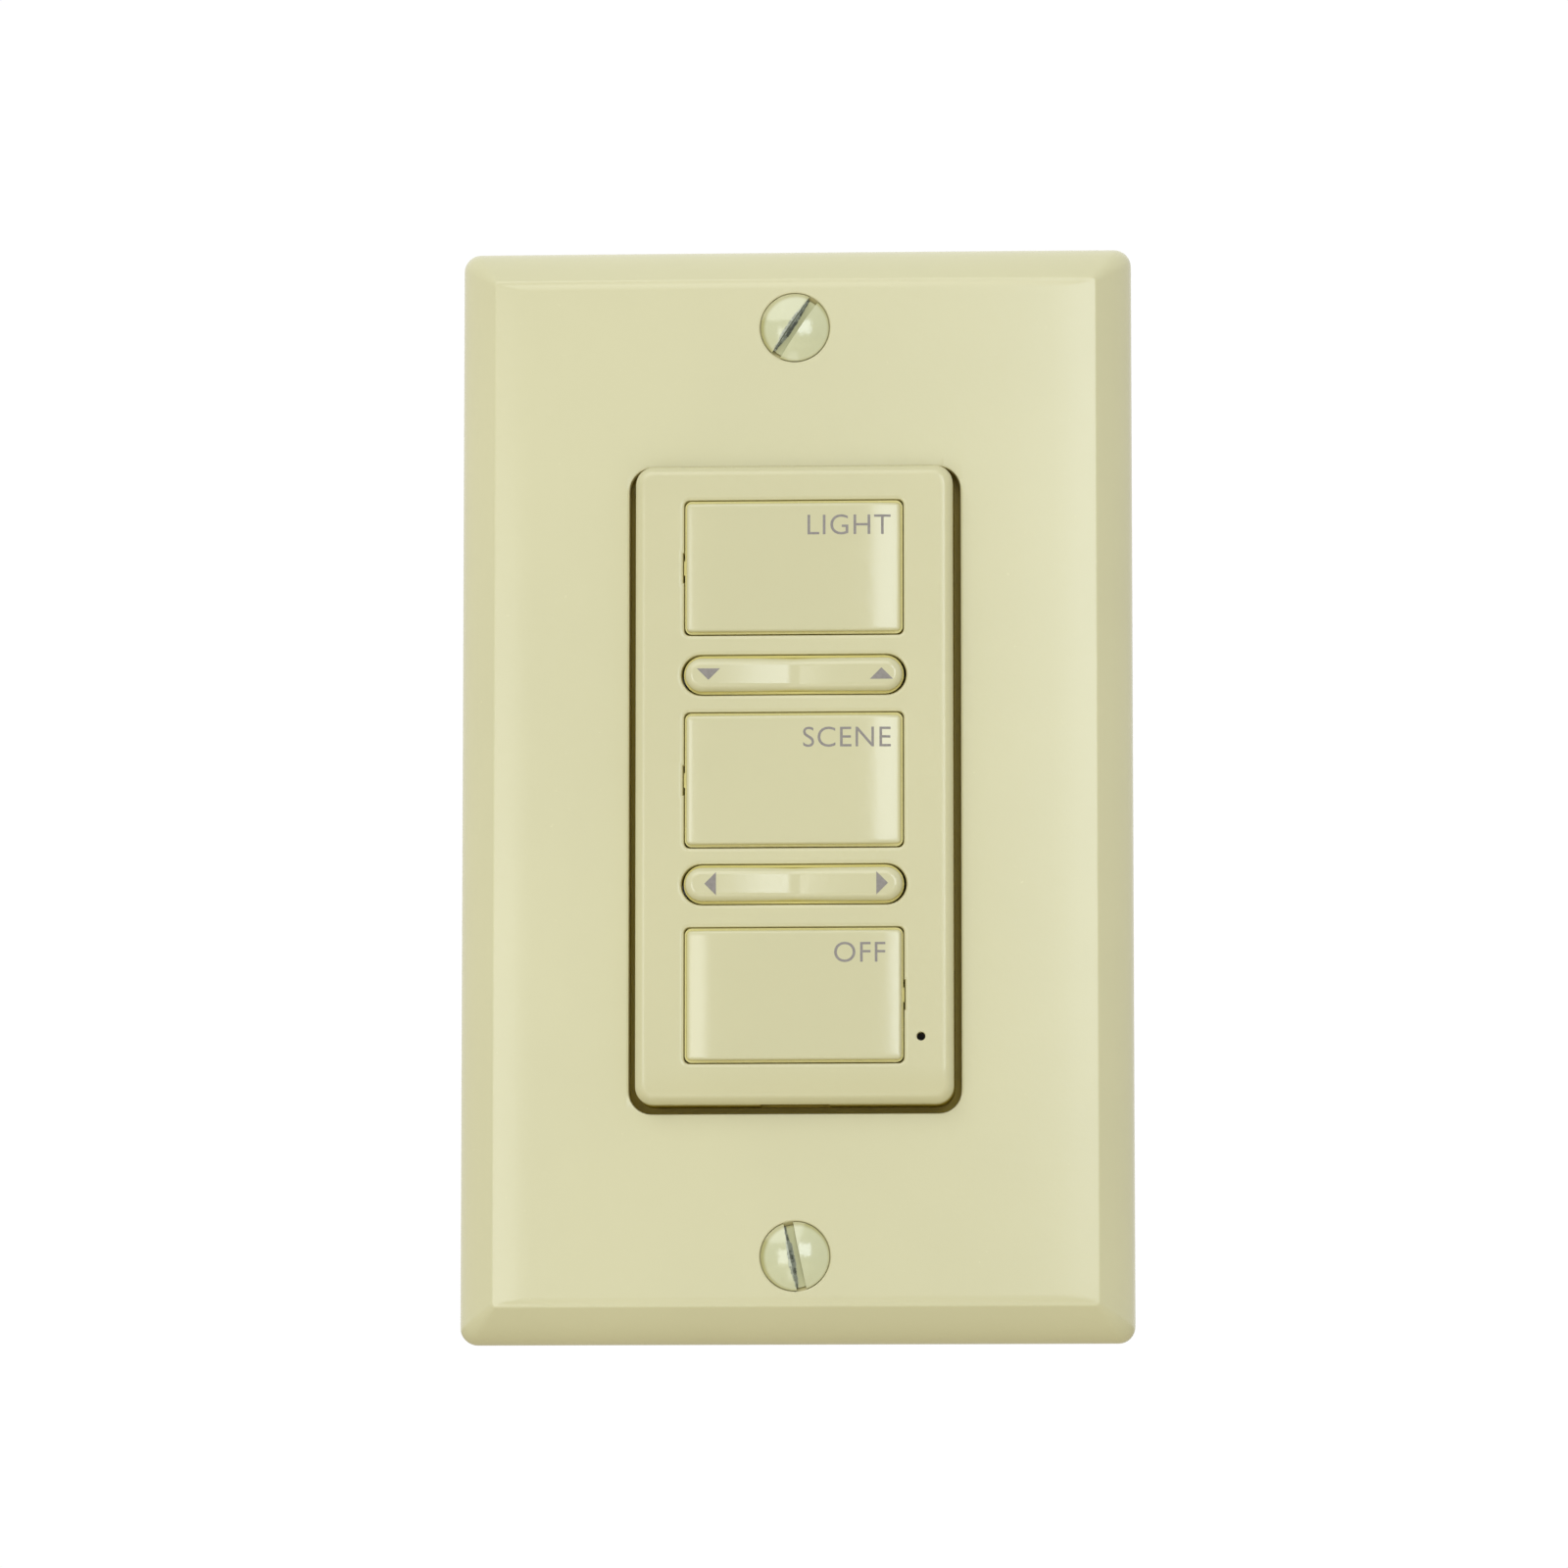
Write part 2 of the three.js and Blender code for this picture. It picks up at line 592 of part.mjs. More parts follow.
function rocker({ name, z }) {
  const end = frameFront - ROCKER.endProud;
  const middle = frameFront - ROCKER.middleProud;
  const back = middle + ROCKER.thickness;
  const tip = PLUNGER.tip - 1.5 * GAP;
  const round = stadium(ROCKER.height - 2 * ROCKER.edge);
  const face = roundedRectangle(ROCKER.width - 2 * ROCKER.edge, ROCKER.height - 2 * ROCKER.edge, round);
  const edgeRise = ROCKER.edge + ROCKER.endProud - ROCKER.middleProud;
  let body = rockerFront(back, end, middle)
    .intersect(easedSlab(face, back, end, ROCKER.edge, edgeRise, 4))
    .add(bar(
      [-ROCKER_HUB.halfWidth, ROCKER_HUB.halfWidth],
      [back - BITE, axle + ROCKER_HUB.pastAxle],
      0, 2 * ROCKER_HUB.halfHeight))
    .subtract(crossRod(ROCKER_PIN.radius + ROCKER_PIN.barPlay, 2 * LUG.far, 0, axle, 0, 16));
  for (const x of [-ROCKER_LEG.x, ROCKER_LEG.x]) {
    body = body.add(rod(ROCKER_LEG.radius, x, 0, tip, back - BITE, 16));
  }
  const mesh = piece(`${name}_rocker`, body, finishes.ivoryCap);
  mesh.position.z = z;
  return mesh;
}

function rockerPin({ name, z }) {
  const pin = crossRod(ROCKER_PIN.radius, ROCKER_PIN.length, 0, axle, 0, 16);
  const mesh = piece(`${name}_rocker_pin`, pin, finishes.zincSteel);
  mesh.position.z = z;
  return mesh;
}

// ------------------------------------------------------------------------------------ tactile switches

/** A switch body with its blind bore, and the plunger that slides in it. */
function tactileSwitch(name, x, z, box, plunger) {
  const half = box.size / 2;
  const rear = BOARD.front - GAP;
  const base = block([-half, box.front, -half], [half, rear, half])
    .subtract(rod(box.boreRadius, 0, 0, box.boreFloor, box.front - CUT));
  const body = piece(`${name}_switch_body`, base, finishes.switchBlack);
  const pusher = piece(
    `${name}_switch_plunger`, rod(plunger.radius, 0, 0, plunger.back, plunger.tip), finishes.plungerWhite);
  const group = new THREE.Group();
  group.add(body, pusher);
  group.position.set(x, 0, z);
  return group;
}

// ------------------------------------------------------------------------------------- boards and parts

function keypadBoard() {
  const clear = 3 * GAP;
  const width = HOUSING.width - 2 * (HOUSING.side + clear);
  const height = HOUSING.height - 2 * (HOUSING.side + clear);
  const shelfZ = HOUSING_NOTCH.z - HOUSING_NOTCH.shelf - clear / 2;
  const tongueX = HOUSING_NOTCH.x - HOUSING.side - clear;
  const body = slab(rectangle(width, 2 * shelfZ), boardRear, BOARD.front)
    .add(slab(rectangle(2 * tongueX, height), boardRear, BOARD.front));
  return piece('keypad_board', body, finishes.board);
}

function powerBoard() {
  const outline = roundedRectangle(POWER_BOARD.width, POWER_BOARD.height, POWER_BOARD.corner);
  return piece('power_board', slab(outline, powerRear, POWER_BOARD.front), finishes.board);
}

function boardHeader() {
  const body = bar(
    [-HEADER.width / 2, HEADER.width / 2],
    [boardRear + GAP, POWER_BOARD.front - GAP],
    HEADER.z, HEADER.height);
  return piece('board_header', body, finishes.switchBlack);
}

function microcontroller() {
  const { size, height, z } = CONTROLLER;
  const front = boardRear + GAP;
  const body = bar([-size / 2, size / 2], [front, front + height], z, size);
  return piece('microcontroller', body, finishes.chip);
}

function voltageRegulator() {
  const { width, height, thickness, x, z } = REGULATOR;
  const rear = POWER_BOARD.front - GAP;
  const body = bar([x - width / 2, x + width / 2], [rear - thickness, rear], z, height);
  return piece('voltage_regulator', body, finishes.chip);
}

function filterCapacitor() {
  const { radius, height, edge, x, z } = CAPACITOR;
  const rear = POWER_BOARD.front - GAP;
  const can = turned([
    [0, rear],
    [radius, rear],
    [radius, rear - height + edge],
    [radius - edge, rear - height],
    [0, rear - height],
  ]);
  const mesh = piece('filter_capacitor', can, finishes.capacitor);
  mesh.position.set(x, 0, z);
  return mesh;
}

function chokeCoil() {
  const { radius, core, height, flange, ease, x, z } = CHOKE;
  const rear = POWER_BOARD.front - GAP;
  const front = rear - height;
  const drum = turned([
    [0, rear],
    [radius, rear],
    [radius, rear - flange],
    [core, rear - flange - ease],
    [core, front + flange + ease],
    [radius, front + flange],
    [radius, front],
    [0, front],
  ]);
  const mesh = piece('choke_coil', drum, finishes.copper);
  mesh.position.set(x, 0, z);
  return mesh;
}

// ----------------------------------------------------------------------------------- wiring terminals

const terminalXs = Array.from(
  { length: TERMINAL.count }, (_, i) => (i - (TERMINAL.count - 1) / 2) * TERMINAL.pitch);
const terminalWellFloor = TERMINAL.rear - TERMINAL.wellDepth;

function terminalBlock() {
  const halfWidth = TERMINAL.count * TERMINAL.pitch / 2;
  const halfHeight = TERMINAL.height / 2;
  const bottom = TERMINAL.z - halfHeight;
  let body = block(
    [-halfWidth, powerRear + GAP, bottom],
    [halfWidth, TERMINAL.rear, TERMINAL.z + halfHeight]);
  for (const x of terminalXs) {
    const half = TERMINAL.entry / 2;
    const middle = TERMINAL.rear - TERMINAL.entryFromRear;
    const boreFloor = terminalWellFloor - TERMINAL.boreDepth;
    body = body
      .subtract(rod(TERMINAL.well, x, TERMINAL.z, TERMINAL.rear + CUT, terminalWellFloor, 16))
      .subtract(rod(TERMINAL.bore, x, TERMINAL.z, TERMINAL.rear + CUT, boreFloor, 12))
      .subtract(bar([x - half, x + half], [middle - half, middle + half], bottom, 2 * TERMINAL.entryDepth));
  }
  return piece('terminal_block', body, finishes.terminalGreen);
}

function terminalScrew(x, number) {
  const { head, headHeight, shank, length, slot, slotFloor } = TERMINAL_SCREW;
  const floor = terminalWellFloor + GAP;
  const cutter = bar(
    [-slot / 2, slot / 2], [floor + slotFloor, floor + headHeight + CUT], 0, 2 * (head + CUT));
  const body = turned([
    [0, floor + headHeight],
    [head - 2 * GAP, floor + headHeight],
    [head, floor + headHeight - 2 * GAP],
    [head, floor],
    [shank, floor],
    [shank, floor - length],
    [0, floor - length],
  ], 16).subtract(cutter);
  const mesh = piece(`terminal_screw_${number}`, body, finishes.zincSteel);
  mesh.rotation.y = THREE.MathUtils.degToRad(25 * number);
  mesh.position.set(x, 0, TERMINAL.z);
  return mesh;
}

// ---------------------------------------------------------------------------------------- rear housing

/** The housing's outline, pulled in at the four corners where its screws sit. */
function notchedSlab(inset, shelf, back, front) {
  const wide = roundedRectangle(
    HOUSING.width - 2 * inset, 2 * (HOUSING_NOTCH.z - shelf), HOUSING.corner - inset / 2);
  const tall = roundedRectangle(
    2 * (HOUSING_NOTCH.x - inset), HOUSING.height - 2 * inset, HOUSING.corner - inset / 2);
  return slab(wide, back, front).add(slab(tall, back, front));
}

function rearHousing() {
  const front = WALL + GAP;
  const floor = HOUSING.depth - HOUSING.rear;
  const flange = roundedRectangle(HOUSING_FLANGE.width, HOUSING_FLANGE.height, HOUSING_FLANGE.corner);
  let body = notchedSlab(0, 0, HOUSING.depth, front)
    .add(slab(flange, front + HOUSING_FLANGE.thickness, front))
    .subtract(notchedSlab(HOUSING.side, HOUSING_NOTCH.shelf, floor, front - CUT));
  const screwHole = HOUSING_SCREW.shankRadius + 1.5 * GAP;
  const innerWall = HOUSING.width / 2 - HOUSING.side + BITE;
  for (const x of [-1, 1]) {
    for (const z of [-1, 1]) {
      const flangeBack = front + HOUSING_FLANGE.thickness + CUT;
      body = body
        .subtract(rod(screwHole, x * HOUSING_SCREW.x, z * HOUSING_SCREW.z, flangeBack, -CUT, 12))
        .add(bar(
          [x * innerWall, x * HOUSING_RIB.x],
          [boardRear + GAP, floor + BITE],
          z * HOUSING_RIB.z, HOUSING_RIB.thickness))
        .add(rod(
          HOUSING_PILLAR.radius, x * HOUSING_PILLAR.x, z * HOUSING_PILLAR.z,
          floor + BITE, powerRear + GAP, 12));
    }
  }
  for (let i = 0; i < VENT.count; i += 1) {
    const z = VENT.lowestZ + i * VENT.pitch;
    const vent = roundedRectangle(VENT.width, VENT.height, stadium(VENT.height), 0, z);
    body = body.subtract(slab(vent, HOUSING.depth + CUT, floor - CUT));
  }
  const port = rectangle(
    TERMINAL.count * TERMINAL.pitch + PORT_CLEARANCE, TERMINAL.height + PORT_CLEARANCE, 0, TERMINAL.z);
  body = body.subtract(slab(port, HOUSING.depth + CUT, floor - CUT));
  return piece('rear_housing', body, finishes.housing);
}

function housingScrew(x, z, number) {
  const seat = WALL + 2 * GAP + HOUSING_FLANGE.thickness;
  const { headRadius, headHeight, shankRadius, length, crossReach, crossWidth, crossFloor } = HOUSING_SCREW;
  const crossDepths = [seat + crossFloor, seat + headHeight + CUT];
  const body = turned([
    [0, seat + headHeight],
    [headRadius * 0.7, seat + headHeight],
    [headRadius, seat + headHeight * 0.5],
    [headRadius, seat],
    [shankRadius, seat],
    [shankRadius, seat - length + 0.6],
    [shankRadius * 0.5, seat - length],
    [0, seat - length],
  ], 16)
    .subtract(bar([-crossWidth / 2, crossWidth / 2], crossDepths, 0, 2 * crossReach))
    .subtract(bar([-crossReach, crossReach], crossDepths, 0, crossWidth));
  const mesh = piece(`housing_screw_${number}`, body, finishes.zincSteel);
  mesh.position.set(x * HOUSING_SCREW.x, 0, z * HOUSING_SCREW.z);
  return mesh;
}

// -------------------------------------------------------------------------------------------- assembly

const device = new THREE.Group();
device.position.z = DEVICE_RISE;
device.add(faceFrame());
for (const key of BUTTONS) {
  device.add(button(key));
  device.add(tactileSwitch(key.name, 0, key.z, SWITCH, PLUNGER));
}
for (const bar of ROCKERS) {
  device.add(rocker(bar), rockerPin(bar));
  device.add(tactileSwitch(bar.switches[0], -ROCKER_LEG.x, bar.z, SWITCH, PLUNGER));
  device.add(tactileSwitch(bar.switches[1], ROCKER_LEG.x, bar.z, SWITCH, PLUNGER));
}
device.add(tactileSwitch('reset', PIN_HOLE.x, PIN_HOLE.z, RESET, RESET_PLUNGER));
device.add(keypadBoard(), powerBoard(), boardHeader(), microcontroller(), voltageRegulator());
device.add(filterCapacitor(), chokeCoil(), terminalBlock(), rearHousing());
terminalXs.forEach((x, i) => device.add(terminalScrew(x, i + 1)));
[[-1, 1], [1, 1], [-1, -1], [1, -1]].forEach(([x, z], i) => device.add(housingScrew(x, z, i + 1)));

const keypad = new THREE.Group();
keypad.add(wallPlate());
keypad.add(plateScrew('plate_screw_upper', PLATE_SCREW_Z, 34));
keypad.add(plateScrew('plate_screw_lower', -PLATE_SCREW_Z, -11.5));
keypad.add(mountingStrap());
keypad.add(boxScrew('box_screw_upper', BOX_SCREW_Z), boxScrew('box_screw_lower', -BOX_SCREW_Z));
keypad.add(screwRetainer('screw_retainer_upper', BOX_SCREW_Z));
keypad.add(screwRetainer('screw_retainer_lower', -BOX_SCREW_Z));
keypad.add(device);

export default keypad;
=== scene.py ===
"""A wall dimmer keypad: a bevelled plate round an insert with three push buttons and two rocker bars."""

from functools import partial
from math import cos, floor, pi, radians, sin, sqrt, tau

import bmesh
import bpy
from bpy.props import FloatProperty, FloatVectorProperty, PointerProperty
from mathutils import Matrix, Vector


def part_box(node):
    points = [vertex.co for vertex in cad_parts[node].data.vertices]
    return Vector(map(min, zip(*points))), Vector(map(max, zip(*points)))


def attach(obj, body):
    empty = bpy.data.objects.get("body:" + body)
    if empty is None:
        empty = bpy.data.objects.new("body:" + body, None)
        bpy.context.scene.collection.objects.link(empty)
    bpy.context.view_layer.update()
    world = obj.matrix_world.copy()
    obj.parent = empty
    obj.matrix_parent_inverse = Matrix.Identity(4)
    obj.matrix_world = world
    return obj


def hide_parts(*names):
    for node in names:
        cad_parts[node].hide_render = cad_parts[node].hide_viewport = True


bl_info = {
    "name": "Wall Keypad",
    "version": (1, 0, 0),
    "blender": (4, 5, 0),
    "location": "View3D > Sidebar > Keypad",
    "description": "Builds a wall dimmer keypad round its packed frame",
    "category": "Object",
}

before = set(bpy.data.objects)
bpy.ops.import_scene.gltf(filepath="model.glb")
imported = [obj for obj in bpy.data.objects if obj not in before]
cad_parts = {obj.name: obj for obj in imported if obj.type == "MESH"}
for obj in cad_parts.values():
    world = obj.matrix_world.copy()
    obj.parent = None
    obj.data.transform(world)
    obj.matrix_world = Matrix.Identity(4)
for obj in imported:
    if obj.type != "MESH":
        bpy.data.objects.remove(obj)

# The script works in millimetres and scales to metres where a vertex is made.
MM = 0.001
CORNER_STEPS = 8


def low(node):
    """The lowest corner of a CAD node's box, in millimetres."""
    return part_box(node)[0] / MM


def high(node):
    """The highest corner of a CAD node's box, in millimetres."""
    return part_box(node)[1] / MM


def centre(node):
    """The middle of a CAD node's box, in millimetres."""
    return (low(node) + high(node)) / 2


def span(node):
    """The size of a CAD node's box, in millimetres."""
    return high(node) - low(node)


PLATE = span("wall_plate")
PLATE_FRONT = low("wall_plate").y
FLANGE = span("face_frame")
FRAME_FRONT = low("face_frame").y
STRAP_FRONT = low("mounting_strap").y
DEVICE_Z = centre("rear_housing").z
HOUSING_SCREWS = [centre(f"housing_screw_{number}") for number in range(1, 5)]
BUTTONS = ("light", "scene", "off")
ROCKERS = ("dimming", "scene")


# ----------------------------------------------------------------------------------------- settings


def length(name, description, default):
    """A size in metres, shown in the units of the scene, from its value in millimetres."""
    return FloatProperty(name=name, description=description, default=default * MM, unit="LENGTH", precision=5)


def colour(name, description, default):
    """A linear colour."""
    return FloatVectorProperty(
        name=name, description=description, default=default, subtype="COLOR", size=3, min=0.0, max=1.0
    )


def angle(name, description, degrees):
    """An angle, from its value in degrees."""
    return FloatProperty(name=name, description=description, default=radians(degrees), subtype="ANGLE")


def amount(name, description, default, lowest=0.0):
    """A plain number."""
    return FloatProperty(name=name, description=description, default=default, min=lowest)


class KeypadPlateSettings(bpy.types.PropertyGroup):
    """Sizes of the wall plate and its screws."""

    skin: length("Skin", "Thickness of the plate's front", 2.2)
    corner: length("Corner", "Corner radius of the outline at the wall", 1.75)
    front_corner: length("Front corner", "Corner radius where the bevel meets the front", 0.45)
    side: length("Side", "Height of the straight side below the bevel", 1.4)
    bevel: length("Bevel", "Width of the bevel", 3.7)
    crease: length("Crease", "Width of the softened line between bevel and front", 0.26)
    crown: length("Crown", "Drop of the front towards its outline", 0.1)
    crown_width: length("Crown width", "Width over which the front falls away", 3.2)
    belly: length("Belly", "Drop of the front from the middle to the sides", 0.32)
    roll: length("Roll", "Extra drop of the front next to its sides", 0.35)
    rim: length("Rim", "Width of the rim that rests on the wall", 3.6)
    opening_width: length("Opening width", "Width of the opening for the insert", 34.3)
    opening_height: length("Opening height", "Height of the opening for the insert", 67.3)
    opening_corner: length("Opening corner", "Corner radius of the opening", 2.3)
    screw_z: length("Screw height", "Distance of a plate screw from the plate's centre", 48.42)
    screw_radius: length("Screw head", "Radius of a plate screw's head", 3.55)
    screw_cone: length("Screw cone", "Height of the cone under a plate screw's head", 2.07)
    screw_dome: length("Screw dome", "Height of a plate screw's dome", 0.8)
    slot_width: length("Slot width", "Width of a plate screw's slot", 1.0)
    slot_depth: length("Slot depth", "Depth of a plate screw's slot", 1.15)
    shank: length("Shank", "Outer radius of the screws' threads", 1.7)
    pitch: length("Pitch", "Pitch of the screws' threads", 0.794)
    upper_turn: angle("Upper slot", "Turn of the upper screw's slot", 34)
    lower_turn: angle("Lower slot", "Turn of the lower screw's slot", -11.5)


class KeypadInsertSettings(bpy.types.PropertyGroup):
    """Sizes of the insert: its frame, push buttons and rocker bars."""

    width: length("Width", "Width of the frame's face", 32.9)
    height: length("Height", "Height of the frame's face", 66.4)
    corner: length("Corner", "Corner radius of the frame", 1.85)
    edge: length("Edge", "Rounding of the frame's front edge", 1.0)
    chin: length("Chin", "Drop of the frame's face towards its lower edge", 0.42)
    skin: length("Skin", "Thickness of the frame's face", 1.6)
    side: length("Side", "Thickness of the frame's side walls", 1.3)
    window_width: length("Window width", "Width of a button's window", 22.6)
    window_height: length("Window height", "Height of a button's window", 14.0)
    window_corner: length("Window corner", "Corner radius of a button's window", 0.5)
    lip: length("Lip", "Width of the chamfer round each window", 0.34)
    latch_depth: length("Latch depth", "Depth of the latch slot beside a button", 0.12)
    latch_height: length("Latch height", "Height of the latch slot beside a button", 3.0)
    bar_window_width: length("Bar window width", "Width of a rocker bar's window", 23.2)
    bar_window_height: length("Bar window height", "Height of a rocker bar's window", 4.1)
    pin_hole: length("Pin hole", "Radius of the hole over the reset switch", 0.45)
    button_width: length("Button width", "Width of a button's cap", 22.2)
    button_height: length("Button height", "Height of a button's cap", 13.4)
    button_corner: length("Button corner", "Corner radius of a button's cap", 0.45)
    button_edge: length("Button edge", "Rounding of a cap's front edge", 0.3)
    button_crown: length("Button crown", "Drop of a cap's face at its free end", 0.3)
    button_depth: length("Button depth", "Depth of a button's side walls", 3.1)
    bar_width: length("Bar width", "Width of a rocker bar", 22.5)
    bar_height: length("Bar height", "Height of a rocker bar", 3.5)
    bar_edge: length("Bar edge", "Rounding of a rocker bar's front edge", 0.8)
    bar_rise: length("Bar rise", "Rise of a rocker bar from its middle to its ends", 0.5)
    letter_height: length("Letter height", "Height of the capitals on the caps", 2.1)
    arrow_width: length("Arrow width", "Length of an arrow's base", 2.4)
    arrow_height: length("Arrow height", "Distance from an arrow's base to its tip", 1.2)


class KeypadFinishSettings(bpy.types.PropertyGroup):
    """Colours of the finishes."""

    plate: colour("Plate", "Gloss ivory plastic of the wall plate", (0.682, 0.658, 0.414))
    insert: colour("Insert", "Ivory plastic of the frame", (0.655, 0.627, 0.383))
    cap: colour("Cap", "Ivory plastic of the buttons and bars", (0.662, 0.638, 0.401))
    paint: colour("Paint", "Ivory paint on the plate screws", (0.63, 0.645, 0.41))
    legend: colour("Legend", "Grey ink of the words and arrows", (0.27, 0.25, 0.235))
    zinc: colour("Zinc", "Zinc-plated steel", (0.62, 0.62, 0.60))
    housing: colour("Housing", "Moulded dark housing", (0.032, 0.033, 0.037))
    terminal: colour("Terminal", "Green terminal block", (0.02, 0.16, 0.055))


class KeypadStageSettings(bpy.types.PropertyGroup):
    """The camera and the studio."""

    azimuth: angle("Azimuth", "Camera's turn to the right", 2.77)
    elevation: angle("Elevation", "Camera's height over the horizon", -6.80)
    distance: length("Distance", "Camera's distance from the plate", 1000.0)
    lens: amount("Lens", "Focal length in millimetres", 220.4, 10.0)
    aim_right: length("Aim right", "Where the camera aims, to the right of the origin", -1.44)
    aim_up: length("Aim up", "Where the camera aims, above the origin", 1.28)
    floor_drop: length("Floor drop", "Depth of the floor below the plate's centre", 250.0)
    ambient: amount("Ambient", "Brightness of the studio in front", 0.42)
    backdrop: amount("Backdrop", "Brightness of the studio behind", 1.02)
    key: amount("Key", "Power of the key light in watts", 6.05)
    right: amount("Right", "Power of the right softbox in watts", 2.65)
    left: amount("Left", "Power of the left softbox in watts", 1.8)
    low: amount("Low", "Power of the low softbox in watts", 0.045)


def settings(name):
    """One group of settings, its lengths as they are stored."""
    return getattr(bpy.context.scene, name)


def mm(value):
    """A stored length in millimetres."""
    return value / MM


# ----------------------------------------------------------------------------------------- outlines


def arc(x, z, radius, start, end, steps=CORNER_STEPS):
    """Points on an arc from `start` to `end`, in degrees, both ends included."""
    turns = [radians(start + (end - start) * i / steps) for i in range(steps + 1)]
    return [(x + radius * cos(t), z + radius * sin(t)) for t in turns]


def circle(radius, x=0.0, z=0.0, steps=48):
    """A closed circle."""
    return arc(x, z, radius, 0, 360, steps)[:-1]


def divided(points, counts):
    """The outline with each of its straight sides cut into that many parts; the sides follow the corners."""
    per_corner = len(points) // 4
    outline = []
    for corner, count in enumerate(counts):
        run = points[corner * per_corner : (corner + 1) * per_corner]
        (xa, za), (xb, zb) = run[-1], points[(corner + 1) * per_corner % len(points)]
        outline += run
        outline += [(xa + (xb - xa) * i / count, za + (zb - za) * i / count) for i in range(1, count)]
    return outline


def rounded(width, height, radius, z=0.0, parts=None):
    """A rounded rectangle; `parts` cuts its top and bottom, and its sides, into smaller steps."""
    right, top = width / 2 - radius, z + height / 2 - radius
    left, bottom = -width / 2 + radius, z - height / 2 + radius
    points = (
        arc(right, top, radius, 0, 90)
        + arc(left, top, radius, 90, 180)
        + arc(left, bottom, radius, 180, 270)
        + arc(right, bottom, radius, 270, 360)
    )
    if parts is None:
        return points
    across, along = parts
    return divided(points, (across, along, across, along))


def grown(size, radius, growth, z=0.0):
    """A rounded rectangle of a size that is made larger by `growth` all round."""
    return rounded(size[0] + 2 * growth, size[1] + 2 * growth, radius + growth, z=z)


def rectangle(width, height, x=0.0, z=0.0):
    """A plain rectangle."""
    right, left, top, bottom = x + width / 2, x - width / 2, z + height / 2, z - height / 2
    return [(left, bottom), (right, bottom), (right, top), (left, top)]


def four_quarters(quarter):
    """A closed outline from its upper right quarter, which runs from near +X to near +Z."""
    back = quarter[::-1]
    return quarter + [(-x, z) for x, z in back] + [(-x, -z) for x, z in quarter] + [(x, -z) for x, z in back]


def moved(points, x, z):
    """The outline moved in the wall's plane."""
    return [(px + x, pz + z) for px, pz in points]


# ------------------------------------------------------------------------------------ mesh building


